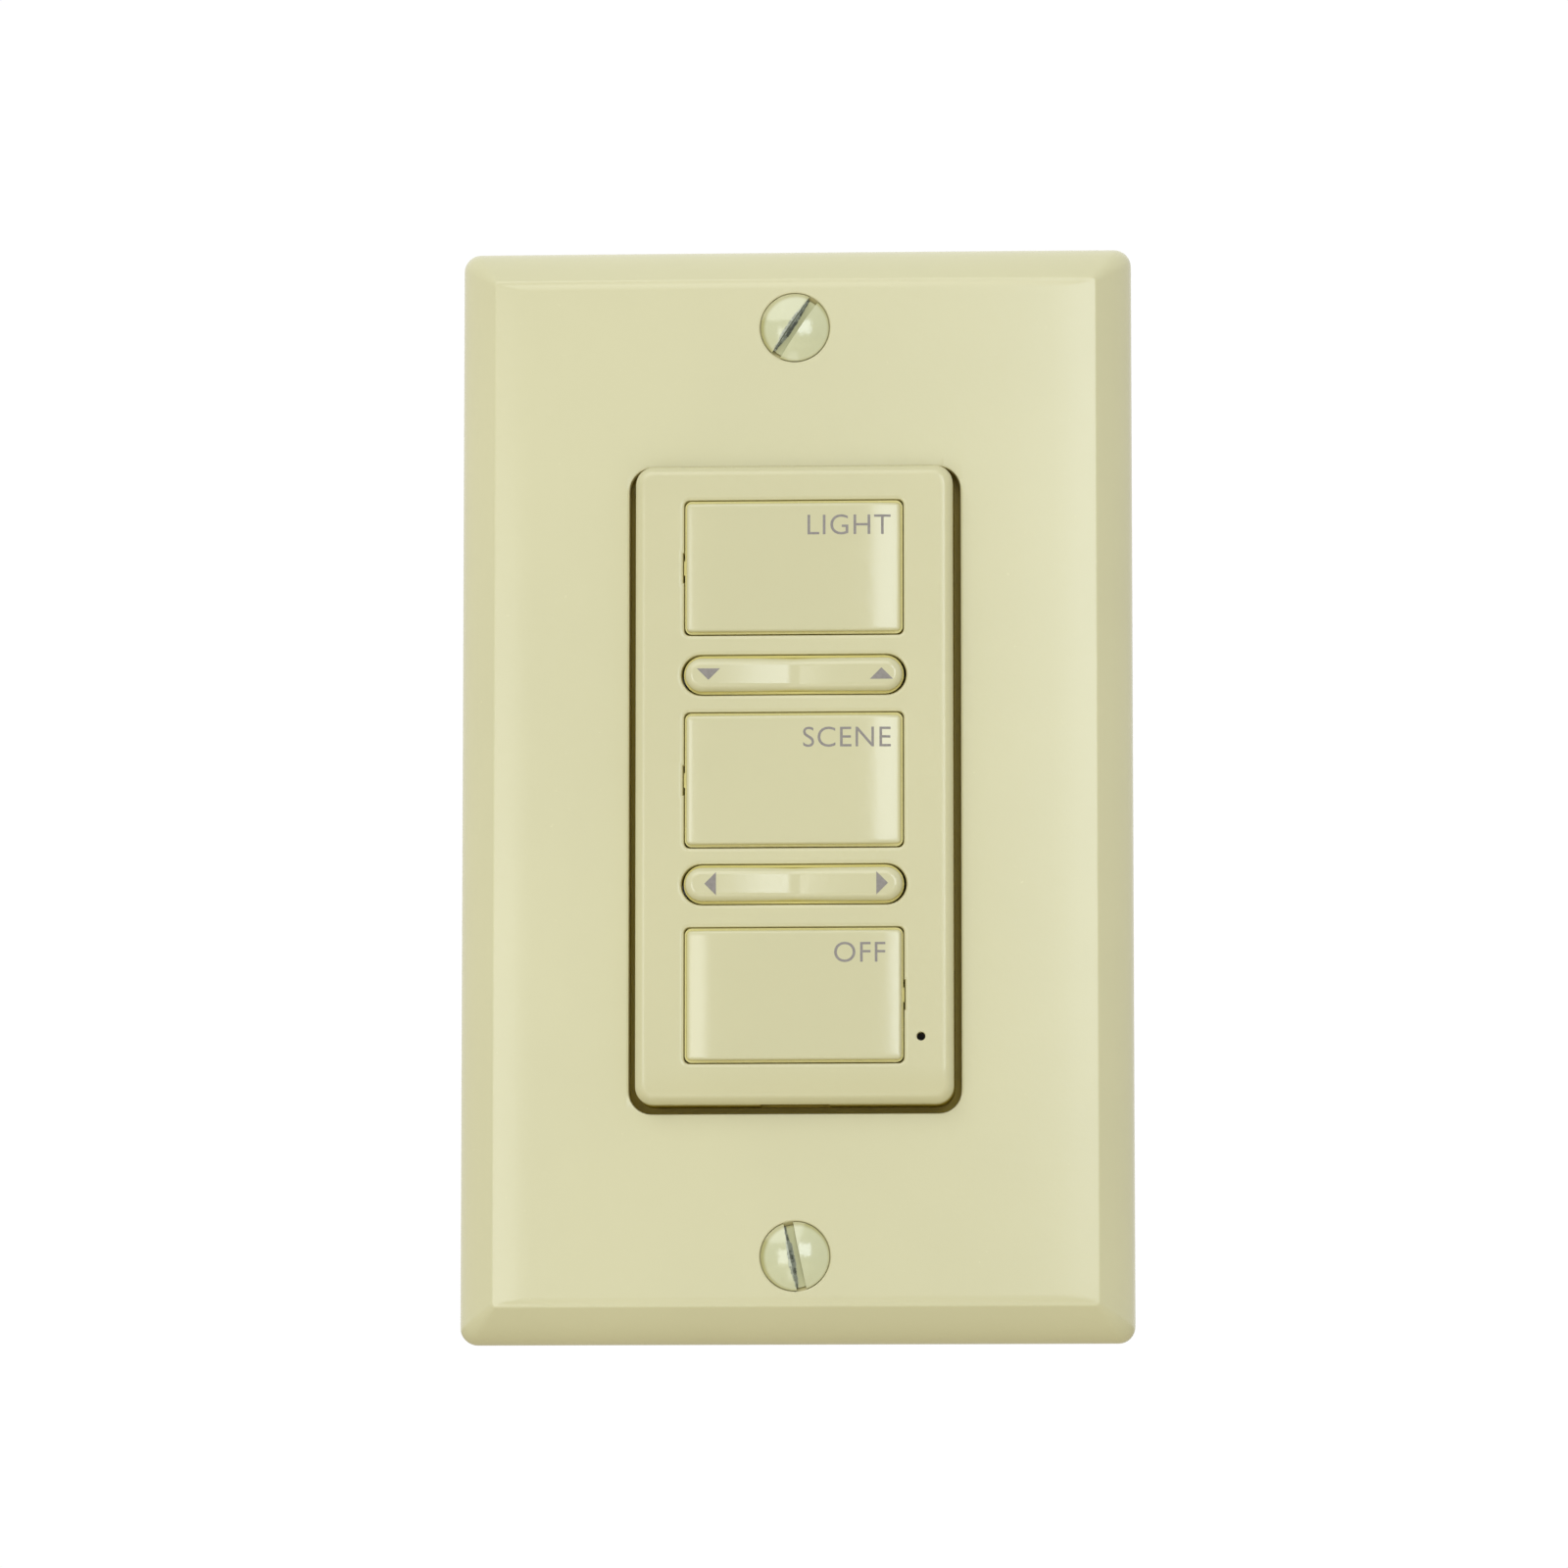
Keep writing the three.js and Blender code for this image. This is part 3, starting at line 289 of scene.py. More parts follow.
class Solid:
    """Grows one mesh from closed loops of points."""

    def __init__(self, mesh=None):
        self.bm = bmesh.new()
        if mesh:
            self.bm.from_mesh(mesh)

    def loop(self, points, depth):
        """A closed loop; `depth` is a number or a function of x and z."""
        at = depth if callable(depth) else lambda x, z: depth
        return [self.bm.verts.new((x * MM, at(x, z) * MM, z * MM)) for x, z in points]

    def loops(self, outline, steps):
        """One loop for each (growth, depth) step, its points from outline(growth)."""
        return [self.loop(outline(growth), depth) for growth, depth in steps]

    def skin(self, loops):
        """Joins each loop to the next, which has as many points."""
        for near, far in zip(loops, loops[1:]):
            for i, corner in enumerate(near):
                j = (i + 1) % len(near)
                self.bm.faces.new((corner, near[j], far[j], far[i]))

    def close(self, loops):
        """Joins the loops and closes both ends."""
        self.skin(loops)
        self.bm.faces.new(loops[0])
        self.bm.faces.new(loops[-1])
        return self

    def fill(self, *loops):
        """Closes the face inside the first loop and outside the others."""
        edges = []
        for loop in loops:
            for a, b in zip(loop, loop[1:] + loop[:1]):
                edges.append(self.bm.edges.get((a, b)) or self.bm.edges.new((a, b)))
        bmesh.ops.triangle_fill(self.bm, use_beauty=True, use_dissolve=False, edges=edges)

    def prism(self, outline, front, back, holes=()):
        """An outline with its holes, run from one depth to another."""
        ends = [[self.loop(points, depth) for points in (outline, *holes)] for depth in (front, back)]
        for pair in zip(*ends):
            self.skin(pair)
        for loops in ends:
            if len(loops) > 1:
                self.fill(*loops)
            else:
                self.bm.faces.new(loops[0])
        return self

    def block(self, lowest, highest):
        """A block between two corners."""
        (xa, ya, za), (xb, yb, zb) = lowest, highest
        return self.prism(rectangle(xb - xa, zb - za, (xa + xb) / 2, (za + zb) / 2), ya, yb)

    def turned(self, profile, x=0.0, z=0.0, sides=48):
        """A closed body turned about Y from (radius, depth) points."""
        return self.close(self.loops(lambda radius: circle(radius, x, z, sides), profile))

    def cross_rod(self, radius, y, bottom, top):
        """A rod along Z, over the middle of X."""
        outline = circle(radius, steps=24)
        return self.close([
            [self.bm.verts.new((px * MM, (y + py) * MM, z * MM)) for px, py in outline] for z in (bottom, top)
        ])

    def thread(self, radius, pitch, front, back, sides=28):
        """A threaded shank along Y whose tip narrows over its last turn and a half."""
        rows_per_turn, tip_turns, tip_slope, flank_slope, core = 7, 1.5, 0.3, 1.25, 0.3
        rows = round((back - front) / pitch * rows_per_turn)
        groove = pitch * 0.6
        rings = []
        for row in range(rows + 1):
            y = front + (back - front) * row / rows
            taper = max(0.0, tip_turns * pitch - (back - y)) * tip_slope
            ring = []
            for side in range(sides):
                turn = tau * side / sides
                phase = y / pitch + side / sides
                ridge = abs(2 * (phase - floor(phase)) - 1)
                r = max(radius - taper - groove * min(1.0, flank_slope * (1 - ridge)), core * radius)
                ring.append(self.bm.verts.new((r * cos(turn) * MM, y * MM, r * sin(turn) * MM)))
            rings.append(ring)
        return self.close(rings)

    def bow(self, axis, places, front, drop):
        """Cuts the mesh across an axis at some places, then sinks its front by drop(x, z)."""
        for place in places:
            geometry = self.bm.verts[:] + self.bm.edges[:] + self.bm.faces[:]
            bmesh.ops.bisect_plane(self.bm, geom=geometry, plane_co=Vector(axis) * place * MM, plane_no=axis)
        for vertex in self.bm.verts:
            share = max(0.0, min(1.0, vertex.co.y / (front * MM)))
            vertex.co.y += share * drop(vertex.co.x / MM, vertex.co.z / MM) * MM

    def mesh(self, name="scratch"):
        """The finished mesh, with its normals outward."""
        bmesh.ops.recalc_face_normals(self.bm, faces=self.bm.faces)
        mesh = bpy.data.meshes.new(name)
        self.bm.to_mesh(mesh)
        self.bm.free()
        return mesh

    def put(self, turn, x, z):
        """The same solid turned about Y, then moved in the wall's plane."""
        matrix = Matrix.Translation((x * MM, 0, z * MM)) @ Matrix.Rotation(turn, 4, "Y")
        bmesh.ops.transform(self.bm, matrix=matrix, verts=self.bm.verts)
        return self


def linked(name, mesh):
    """An object of the scene that shows a mesh."""
    thing = bpy.data.objects.new(name, mesh)
    bpy.context.scene.collection.objects.link(thing)
    return thing


def carved(solid, *cutters):
    """The solid with the cutters taken out of it."""
    body = linked("body", solid.mesh())
    tools = [linked("cutter", cutter.mesh()) for cutter in cutters]
    for tool in tools:
        cut = body.modifiers.new("Cut", "BOOLEAN")
        cut.operation, cut.solver, cut.object = "DIFFERENCE", "EXACT", tool
    shown = body.evaluated_get(bpy.context.evaluated_depsgraph_get())
    result = Solid(bpy.data.meshes.new_from_object(shown))
    for thing in (body, *tools):
        mesh = thing.data
        bpy.data.objects.remove(thing)
        bpy.data.meshes.remove(mesh)
    return result


def finished(solid, name, body, material, replaces=(), crease=32.0, bevel=0.0, flat=True):
    """Adds the solid as a piece that rides on a body of the frame; `flat` keeps its large faces flat."""
    thing = linked(name, solid.mesh(name))
    thing.data.materials.append(material)
    thing.data.shade_smooth()
    thing.data.set_sharp_from_angle(angle=radians(crease))
    if bevel:
        soften(thing, bevel)
    if flat:
        weighted = thing.modifiers.new("Flat faces", "WEIGHTED_NORMAL")
        weighted.keep_sharp, weighted.weight = True, 100
    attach(thing, body)
    if replaces:
        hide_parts(*replaces)
    return thing


def soften(thing, width):
    """Rounds a piece's sharp edges."""
    edge = thing.modifiers.new("Soft edges", "BEVEL")
    edge.width, edge.segments, edge.limit_method = width * MM, 2, "ANGLE"
    edge.angle_limit = radians(40)
    edge.harden_normals = True


# ------------------------------------------------------------------------------------- shader maths


class Value:
    """A shader socket that Python arithmetic works on."""

    def __init__(self, graph, socket):
        self.graph, self.socket = graph, socket

    def maths(self, operation, *others):
        """A Math node on this value and the others."""
        inputs = dict(enumerate((self, *others)))
        return self.graph.node("ShaderNodeMath", {"operation": operation}, inputs)

    def __add__(self, other):
        return self.maths("ADD", other)

    __radd__ = __add__

    def __sub__(self, other):
        return self.maths("SUBTRACT", other)

    def __rsub__(self, other):
        return self.graph.node("ShaderNodeMath", {"operation": "SUBTRACT"}, {0: other, 1: self})

    def __mul__(self, other):
        return self.maths("MULTIPLY", other)

    __rmul__ = __mul__

    def __truediv__(self, other):
        return self.maths("DIVIDE", other)

    def __abs__(self):
        return self.maths("ABSOLUTE")

    def fraction(self):
        """What is left over a whole number."""
        return self.maths("FRACT")

    def ramp(self, start, end):
        """0 before `start`, 1 after `end` and a smooth step between."""
        return self.graph.node(
            "ShaderNodeMapRange",
            {"interpolation_type": "SMOOTHSTEP"},
            {"Value": self, "From Min": start, "From Max": end},
        )


class Nodes:
    """A node tree, of a material or of the world."""

    def __init__(self, tree):
        self.tree = tree

    def node(self, kind, options=None, inputs=None, output=0):
        """Adds a node: its type, its options, then its sockets' values or links."""
        node = self.tree.nodes.new(kind)
        for key, value in (options or {}).items():
            setattr(node, key, value)
        for key, value in (inputs or {}).items():
            self.feed(node.inputs[key], value)
        return Value(self, node.outputs[output])

    def feed(self, socket, value):
        """Links a value to a socket, or sets the socket to a constant."""
        if isinstance(value, Value):
            self.tree.links.new(value.socket, socket)
        else:
            socket.default_value = value


class Graph(Nodes):
    """A material and its nodes."""

    def __init__(self, name, roughness, metallic=0.0, coat=0.0):
        self.material = bpy.data.materials.new(name)
        self.material.use_nodes = True
        super().__init__(self.material.node_tree)
        self.shader = self.tree.nodes["Principled BSDF"]
        self.set("Roughness", roughness)
        self.set("Metallic", metallic)
        self.set("Coat Weight", coat)
        self.set("Coat Roughness", 0.12)
        self.set("IOR", 1.5)
        place = self.node("ShaderNodeTexCoord", output="Object")
        scaled = {0: place, "Scale": 1 / MM}
        self.millimetres = self.node("ShaderNodeVectorMath", {"operation": "SCALE"}, scaled)

    def set(self, name, value):
        """Feeds a socket of the shader."""
        self.feed(self.shader.inputs[name], value)

    def axes(self):
        """The place's three coordinates in millimetres."""
        split = self.node("ShaderNodeSeparateXYZ", inputs={0: self.millimetres}).socket.node
        return [Value(self, socket) for socket in split.outputs]

    def noise(self, scale, detail=2.0, roughness=0.5, stretch=None):
        """Noise with `scale` features to a millimetre."""
        where = self.millimetres
        if stretch:
            where = self.node("ShaderNodeVectorMath", {"operation": "MULTIPLY"}, {0: where, 1: stretch})
        return self.node(
            "ShaderNodeTexNoise",
            inputs={"Vector": where, "Scale": scale, "Detail": detail, "Roughness": roughness},
        )

    def mix(self, share, first, second):
        """A colour between two colours."""
        return self.node("ShaderNodeMix", {"data_type": "RGBA"}, {0: share, 6: first, 7: second}, output=2)

    def bump(self, height, depth):
        """Feeds the shader's normal from a height; `depth` is in millimetres."""
        self.set("Normal", self.node("ShaderNodeBump", inputs={"Height": height, "Distance": depth * MM}))


def shade(rgb, factor):
    """A darker or lighter version of a colour, opaque."""
    return (*(min(1.0, c * factor) for c in rgb), 1.0)


# What ivory plastic deepens to in shade: in the wide gaps, and in the hairline gaps round the caps.
DEEP_OLIVE = (0.4, 0.3, 0.015, 1)
GAP_OLIVE = (0.62, 0.52, 0.015, 1)


def ivory(name, rgb, roughness, recess, grain=1.0, shaded=DEEP_OLIVE):
    """Gloss plastic with a faint mottle and orange peel; it is painted the `shaded` colour, as painted shade,
    where recess(x, y, z) is 1.
    """
    graph = Graph(name, roughness, coat=0.15)
    cloud = graph.noise(0.035, 3.0)
    fine = graph.noise(1.6, 3.0, 0.6)
    skin = graph.mix(cloud.ramp(0.35, 0.65), shade(rgb, 0.985), shade(rgb, 1.012))
    # Painted shade: the colour turns to `shaded` in the recesses and gaps that the mask picks out, and the
    # roughness rises there.
    recess_shade = recess(*graph.axes())
    graph.set("Base Color", graph.mix(recess_shade, skin, shaded))
    graph.set("Roughness", (fine - 0.5) * 0.1 + roughness + recess_shade * 0.3)
    peel = graph.noise(1.1, 1.0) * 0.75 + graph.noise(4.5, 2.0) * 0.25
    graph.bump(peel, 0.012 * grain)
    return graph.material


def ink(name, rgb):
    """Matt pad-printed ink, slightly uneven."""
    graph = Graph(name, 0.55)
    patch = graph.noise(3.0, 2.0)
    graph.set("Base Color", graph.mix(patch.ramp(0.3, 0.7), shade(rgb, 0.94), shade(rgb, 1.08)))
    return graph.material


def worn_paint(name, rgb, metal, angle, z, slot_width):
    """Paint on a screw: painted olive shade in the slot and round the rim where the head meets the
    countersink, and chipped along the slot's left edge.
    """
    # The first colour is painted shade for the slot and the crevice round the rim; the other two are the bare
    # metal in painted shade and in a painted glint.
    crevice_shade, bare_dark, bare_light = (0.38, 0.355, 0.11, 1), (0.045, 0.055, 0.02, 1), (0.5, 0.54, 0.42, 1)
    graph = Graph(name, 0.2, coat=0.6)
    x, y, height = graph.axes()
    up = height - z
    across = x * cos(angle) - up * sin(angle)
    along = x * sin(angle) + up * cos(angle)
    chips = graph.noise(0.9, 4.0, 0.7) - 0.5
    worn = abs(along + 0.3).ramp(3.5, 0.5) * 0.22 + chips * 0.6
    chipped = (abs(across + slot_width * 0.42) - worn).ramp(0.16, 0.04)
    behind = y.ramp(PLATE_FRONT + 0.6, PLATE_FRONT + 1.4)
    shown = chipped.maths("MAXIMUM", behind)
    # Painted shade in the slot, and in a ring round the rim, wider at its upper left, where the head meets
    # the countersink.
    between = abs(across).ramp(slot_width * 0.52, slot_width * 0.46)
    in_slot = between * y.ramp(PLATE_FRONT - 0.8, PLATE_FRONT - 0.3)
    rim = (x * x + up * up - x * 0.3 + up * 0.3).ramp(9.4, 12.6)
    slot_and_rim_shade = in_slot * 0.3 + rim * 0.8
    paint = graph.mix(slot_and_rim_shade.maths("MINIMUM", 0.8), shade(rgb, 1.0), crevice_shade)
    # The bare metal is lighter towards the slot's left edge, a painted glint, and darker towards its right,
    # painted shade, with random flecks over both.
    lit = (across * -1.0).ramp(slot_width * 0.3, slot_width * 0.6)
    glint = lit * 0.5 + graph.noise(2.0, 3.0).ramp(0.44, 0.62) * 0.5
    flakes = graph.mix(glint, bare_dark, bare_light)
    graph.set("Base Color", graph.mix(shown, paint, graph.mix(behind, flakes, shade(metal, 1.0))))
    graph.set("Metallic", behind * 0.9)
    graph.set("Roughness", shown * 0.25 + 0.13)
    graph.bump(graph.noise(1.0, 2.0) - shown * 0.5, 0.03)
    return graph.material


def zinc(name, rgb):
    """Bright zinc plate with a soft spangle and fine rolling marks."""
    graph = Graph(name, 0.34, metallic=1.0)
    cells = {"Vector": graph.millimetres, "Scale": 0.28}
    spangle = graph.node("ShaderNodeTexVoronoi", inputs=cells, output="Color")
    grey = graph.node("ShaderNodeRGBToBW", inputs={0: spangle})
    rolled = graph.noise(1.0, 3.0, 0.6, (0.15, 1.0, 6.0))
    tone = grey * 0.3 + rolled * 0.7
    graph.set("Base Color", graph.mix(tone, shade(rgb, 0.86), shade(rgb, 1.1)))
    graph.set("Roughness", 0.26 + tone * 0.2)
    graph.bump(rolled, 0.006)
    return graph.material


def moulded(name, rgb, roughness, texture=0.02):
    """Matt moulded plastic with a spark-eroded texture."""
    graph = Graph(name, roughness)
    cloud = graph.noise(0.08, 3.0)
    grit = graph.noise(5.0, 2.0, 0.6)
    graph.set("Base Color", graph.mix(cloud, shade(rgb, 0.88), shade(rgb, 1.12)))
    graph.set("Roughness", (grit - 0.5) * 0.2 + roughness)
    graph.bump(grit, texture)
    return graph.material


def fibre(name):
    """Red vulcanised fibre."""
    graph = Graph(name, 0.8)
    strands = graph.noise(1.5, 4.0, 0.7, (1.0, 1.0, 5.0))
    graph.set("Base Color", graph.mix(strands, (0.16, 0.045, 0.02, 1), (0.34, 0.13, 0.06, 1)))
    graph.bump(strands, 0.03)
    return graph.material


def circuit(name):
    """Solder mask over straight copper tracks, with pads where a track ends."""
    track_pitch, pad_pitch = 1.27, 2.54
    graph = Graph(name, 0.35, coat=0.3)
    x, _, z = graph.axes()
    lane = (z / track_pitch + 0.5).fraction()
    track = (abs(lane - 0.5)).ramp(0.2, 0.14)
    run = graph.noise(0.35, 0.0, 0.5, (0.6, 1.0, 2.4)).ramp(0.5, 0.52)
    pad = (abs((x / pad_pitch).fraction() - 0.5)).ramp(0.12, 0.07) * (1 - run) * track
    raised = track * run
    mask = graph.mix(raised, (0.006, 0.075, 0.022, 1), (0.018, 0.15, 0.045, 1))
    graph.set("Base Color", graph.mix(pad, mask, (0.7, 0.68, 0.62, 1)))
    graph.set("Metallic", pad)
    graph.bump(raised + pad, 0.03)
    return graph.material


def windings(name):
    """Enamelled copper wire, wound in tight turns."""
    wire = 0.45
    graph = Graph(name, 0.3, metallic=0.9)
    _, y, _ = graph.axes()
    wave = abs((y / wire).fraction() - 0.5) * 2
    tone = graph.noise(0.9, 2.0)
    graph.set("Base Color", graph.mix(tone, (0.42, 0.15, 0.05, 1), (0.62, 0.27, 0.1, 1)))
    graph.bump(1 - wave, 0.15)
    return graph.material


# --------------------------------------------------------------------------------------- wall plate


def bezier(points, steps):
    """Points on a cubic curve, its first left out."""
    made = []
    for i in range(1, steps + 1):
        t = i / steps
        weights = ((1 - t) ** 3, 3 * t * (1 - t) ** 2, 3 * t * t * (1 - t), t**3)
        made.append(tuple(sum(w * p[axis] for w, p in zip(weights, points)) for axis in (0, 1)))
    return made


# The share of the crown's drop that is left where the crease ends.
CROWN_START = 0.85


def plate_profile(s):
    """The plate's edge as (inset, depth) points, from the wall to the front."""
    side, bevel, crease, crown = mm(s.side), mm(s.bevel), mm(s.crease), mm(s.crown)
    foot = 0.12
    rise = -PLATE_FRONT - side
    start, end = (0.0, -side), (bevel - crease, PLATE_FRONT + 0.78 * crease)
    curve = bezier((start, (foot, -side - 0.42 * rise), (0.5 * bevel, PLATE_FRONT + 0.3 * rise), end), 12)
    handle = (bevel - 0.35 * crease, PLATE_FRONT + 0.22 * crease)
    landing = (bevel + crease, PLATE_FRONT + CROWN_START * crown)
    corner = bezier((end, handle, (bevel, PLATE_FRONT + crown), landing), 5)
    return [(foot, 0.0), (0.0, -foot), start, *curve, *corner]


class KEYPAD_OT_wall_plate(bpy.types.Operator):
    """Builds the wall plate: a crowned front, convex bevels, a hollow back, ribs and two bosses"""

    bl_idname = "keypad.wall_plate"
    bl_label = "Wall plate"

    def execute(self, context):
        s = settings("keypad_plate")
        solid = Solid()
        profile = plate_profile(s)
        bevel, corner, front_corner = mm(s.bevel), mm(s.corner), mm(s.front_corner)
        loops = []
        for inset, depth in profile:
            radius = corner + (front_corner - corner) * min(1.0, inset / bevel)
            loops.append(solid.loop(rounded(PLATE.x - 2 * inset, PLATE.z - 2 * inset, radius), depth))
        edge, crown_rows, crown_height = profile[-1][0], 6, 0.75
        for i in range(1, crown_rows + 1):
            part = i / crown_rows
            width = PLATE.x - 2 * (edge + mm(s.crown_width) * part)
            height = PLATE.z - 2 * (edge + crown_height * part)
            depth = PLATE_FRONT + mm(s.crown) * CROWN_START * (1 - part) ** 2
            loops.append(solid.loop(rounded(width, height, front_corner), depth))
        solid.skin(loops)

        ceiling = PLATE_FRONT + mm(s.skin)
        opening = (mm(s.opening_width), mm(s.opening_height))
        mouth = solid.loops(
            partial(grown, opening, mm(s.opening_corner)),
            ((0.3, PLATE_FRONT), (0.1, PLATE_FRONT + 0.07), (0.0, PLATE_FRONT + 0.3), (0.0, ceiling)))
        solid.skin(mouth)

        rim = mm(s.rim)
        hollow = [
            solid.loop(rounded(PLATE.x - 2 * rim, PLATE.z - 2 * rim, 1.5), depth) for depth in (0.0, ceiling)
        ]
        solid.skin([loops[0], *hollow])

        sink, screw_z = mm(s.screw_radius) + 0.07, mm(s.screw_z)
        holes, bosses = [], []
        for z in (screw_z, -screw_z):
            rings = solid.loops(lambda radius: circle(radius, 0, z, 64), self.boss(s, sink, ceiling))
            solid.skin(rings)
            holes.append(rings[0])
            bosses.append(rings[-1])
        solid.fill(loops[-1], mouth[0], *holes)
        solid.fill(hollow[1], mouth[-1], *bosses)

        half, belly, roll = PLATE.x / 2, mm(s.belly), mm(s.roll)
        cuts = 18
        places = [half * i / cuts for i in range(1 - cuts, cuts)]

        def sag(x, _z):
            """The drop of the front, which falls away fastest next to its sides."""
            return belly * (x / half) ** 2 + roll * (x / half) ** 8

        solid.bow((1, 0, 0), places, PLATE_FRONT, sag)

        inner, outer, rib_z, rib_half = opening[0] / 2 + 2, PLATE.x / 2 - rim + 0.2, 40, 0.5
        for z in (-rib_z, rib_z):
            for lowest, highest in ((-outer, -inner), (inner, outer)):
                solid.block((lowest, ceiling - 0.2, z - rib_half), (highest, STRAP_FRONT - 0.9, z + rib_half))

        def recess(x, y, z):
            """Where painted shade goes: the walls of the opening, and more faintly those of the screws'
            countersinks.
            """
            wide, tall = opening[0] / 2 + 0.5, opening[1] / 2 + 0.5
            inside = abs(x).ramp(wide + 0.1, wide - 0.1) * abs(z).ramp(tall + 0.1, tall - 0.1)
            up = abs(z) - screw_z
            ring = (x * x + up * up).ramp((sink + 0.3) ** 2, (sink + 0.1) ** 2)
            faint = ring * y.ramp(PLATE_FRONT - 0.1, PLATE_FRONT + 0.4) * 0.45
            return faint.maths("MAXIMUM", y.ramp(PLATE_FRONT + 0.3, PLATE_FRONT + 1.6) * inside)

        plastic = ivory("Plate ivory", settings("keypad_finish").plate, 0.25, recess)
        finished(solid, "wall_plate_shell", "housing", plastic, ["wall_plate"], crease=24)
        return {"FINISHED"}

    def boss(self, s, sink, ceiling):
        """A screw's countersink and the boss behind it, as (radius, depth) points."""
        neck, outer = 2.0, 3.2
        cone, end = PLATE_FRONT + mm(s.screw_cone), STRAP_FRONT - 0.4
        softened = ((0.24, 0.0), (0.15, 0.0), (0.04, 0.05), (0.0, 0.16))
        points = [(sink + growth, PLATE_FRONT + drop) for growth, drop in softened]
        return points + [(neck, cone), (neck, end), (outer, end), (outer, ceiling)]


# ------------------------------------------------------------------------------------------- insert


def button_window(s, z, latch, growth):
    """A button's window, with the latch's slot in one side."""
    points = grown((mm(s.window_width), mm(s.window_height)), mm(s.window_corner), growth)
    edge, half = mm(s.window_width) / 2 + growth, mm(s.latch_height) / 2 + growth
    outer = edge + mm(s.latch_depth)
    points += [(edge, -half), (outer, -half), (outer, half), (edge, half)]
    return [(latch * px, z + pz) for px, pz in points]


def window_gap_shade(_x, y, _z):
    """Behind the frame's face, where the caps' sides in the gaps round them get painted shade."""
    return y.ramp(FRAME_FRONT - 0.3, FRAME_FRONT + 0.55)


# Half the width of the lugs that hold the rocker bars' pins.
LUG = 1.6


def quarter_round(radius, steps):
    """The (inset, drop) steps of a rounded edge, from its side to its face."""
    turns = [pi / 2 * i / steps for i in range(steps + 1)]
    return [(radius * (1 - cos(turn)), radius * (1 - sin(turn))) for turn in turns]


def latch_side(name):
    """The side of a button that its latch is on."""
    return 1 if name == "off" else -1


class KEYPAD_OT_face_frame(bpy.types.Operator):
    """Builds the insert's frame: a rounded face with five windows, side walls, lugs and a flange"""

    bl_idname = "keypad.face_frame"
    bl_label = "Face frame"

    def execute(self, context):
        s = settings("keypad_insert")
        solid = Solid()
        front, back = FRAME_FRONT, high("face_frame").y
        ceiling, edge, lip = front + mm(s.skin), mm(s.edge), mm(s.lip)
        size, corner = (mm(s.width), mm(s.height)), mm(s.corner)
        flange_front, side = back - 1.5, mm(s.side)

        loops = []
        for inset, drop in quarter_round(edge, 8):
            loops.append(solid.loop(grown(size, corner + 0.1 * inset, -inset, DEVICE_Z), front + drop))
        # A second ring on the flat of the face keeps its shading even.
        support, support_corner = edge + 0.3, 0.7
        loops.append(solid.loop(grown(size, support_corner + support, -support, DEVICE_Z), front))
        wall = solid.loop(rounded(*size, corner, z=DEVICE_Z), flange_front)
        flange = [solid.loop(rounded(FLANGE.x, FLANGE.z, 2.0, z=DEVICE_Z), y) for y in (flange_front, back)]
        hollow = [solid.loop(grown(size, 0.85 + side, -side, DEVICE_Z), y) for y in (back, ceiling)]
        solid.skin(loops[::-1] + [wall] + flange + hollow)

        bar = (mm(s.bar_window_width), mm(s.bar_window_height))
        bar_corner = bar[1] / 2 - 0.01
        reset = centre("reset_switch_body")
        windows = [
            partial(button_window, s, centre(f"{name}_button").z, latch_side(name)) for name in BUTTONS
        ]
        windows += [partial(grown, bar, bar_corner, z=centre(f"{name}_rocker").z) for name in ROCKERS]
        steps = ((lip + 0.15, front), (lip, front), (lip * 0.35, front + lip * 0.25),
                 (0.0, front + lip), (0.0, ceiling))
        openings = [solid.loops(window, steps) for window in windows]
        openings.append(solid.loops(
            lambda growth: circle(mm(s.pin_hole) + growth, reset.x, reset.z, 24),
            ((0.07, front), (0.0, front + 0.07), (0.0, ceiling))))
        for rings in openings:
            solid.skin(rings)
        solid.fill(loops[-1], *(rings[0] for rings in openings))
        solid.fill(hollow[1], *(rings[-1] for rings in openings))

        bottom = DEVICE_Z - size[1] / 2
        chin = centre("off_button").z - mm(s.window_height) / 2 - lip
        cuts = 6
        places = [chin + (bottom - chin) * i / cuts for i in range(cuts)]
        fall = mm(s.chin)
        solid.bow((0, 0, 1), places, front, lambda _, z: fall * max(0.0, (chin - z) / (chin - bottom)) ** 2)
        notch = 3.6
        solid = carved(solid, Solid().block(
            (-notch, front + 1.3, bottom - 1), (notch, flange_front - 0.6, bottom + 0.5)))
        for name in ROCKERS:
            pin = centre(f"{name}_rocker_pin")
            for end in (-1, 1):
                near, far = sorted((pin.z + end * 2.3, pin.z + end * 3.5))
                solid.block((-LUG, ceiling - 0.2, near), (LUG, pin.y + 1.2, far))
        for screw in HOUSING_SCREWS:
            post, bore = (circle(radius, screw.x, screw.z, 24) for radius in (1.9, 1.05))
            solid.prism(post, ceiling - 0.2, back, [bore])
        reach = mm(s.bar_window_width) / 2 + 0.6
        tall = centre("light_button").z - DEVICE_Z + mm(s.window_height) / 2 + 0.6

        def recess(x, y, z):
            """Where painted shade goes: the windows' walls, and the sides below the rounded edge."""
            windows = abs(x).ramp(reach, reach - 0.2) * abs(z - DEVICE_Z).ramp(tall, tall - 0.2)
            return (windows * y.ramp(front, front + 0.7)).maths("MAXIMUM", y.ramp(front + 0.8, front + 2.6))

        plastic = ivory("Frame ivory", settings("keypad_finish").insert, 0.24, recess)
        finished(solid, "insert_frame", "housing", plastic, ["face_frame"], crease=28)
        return {"FINISHED"}


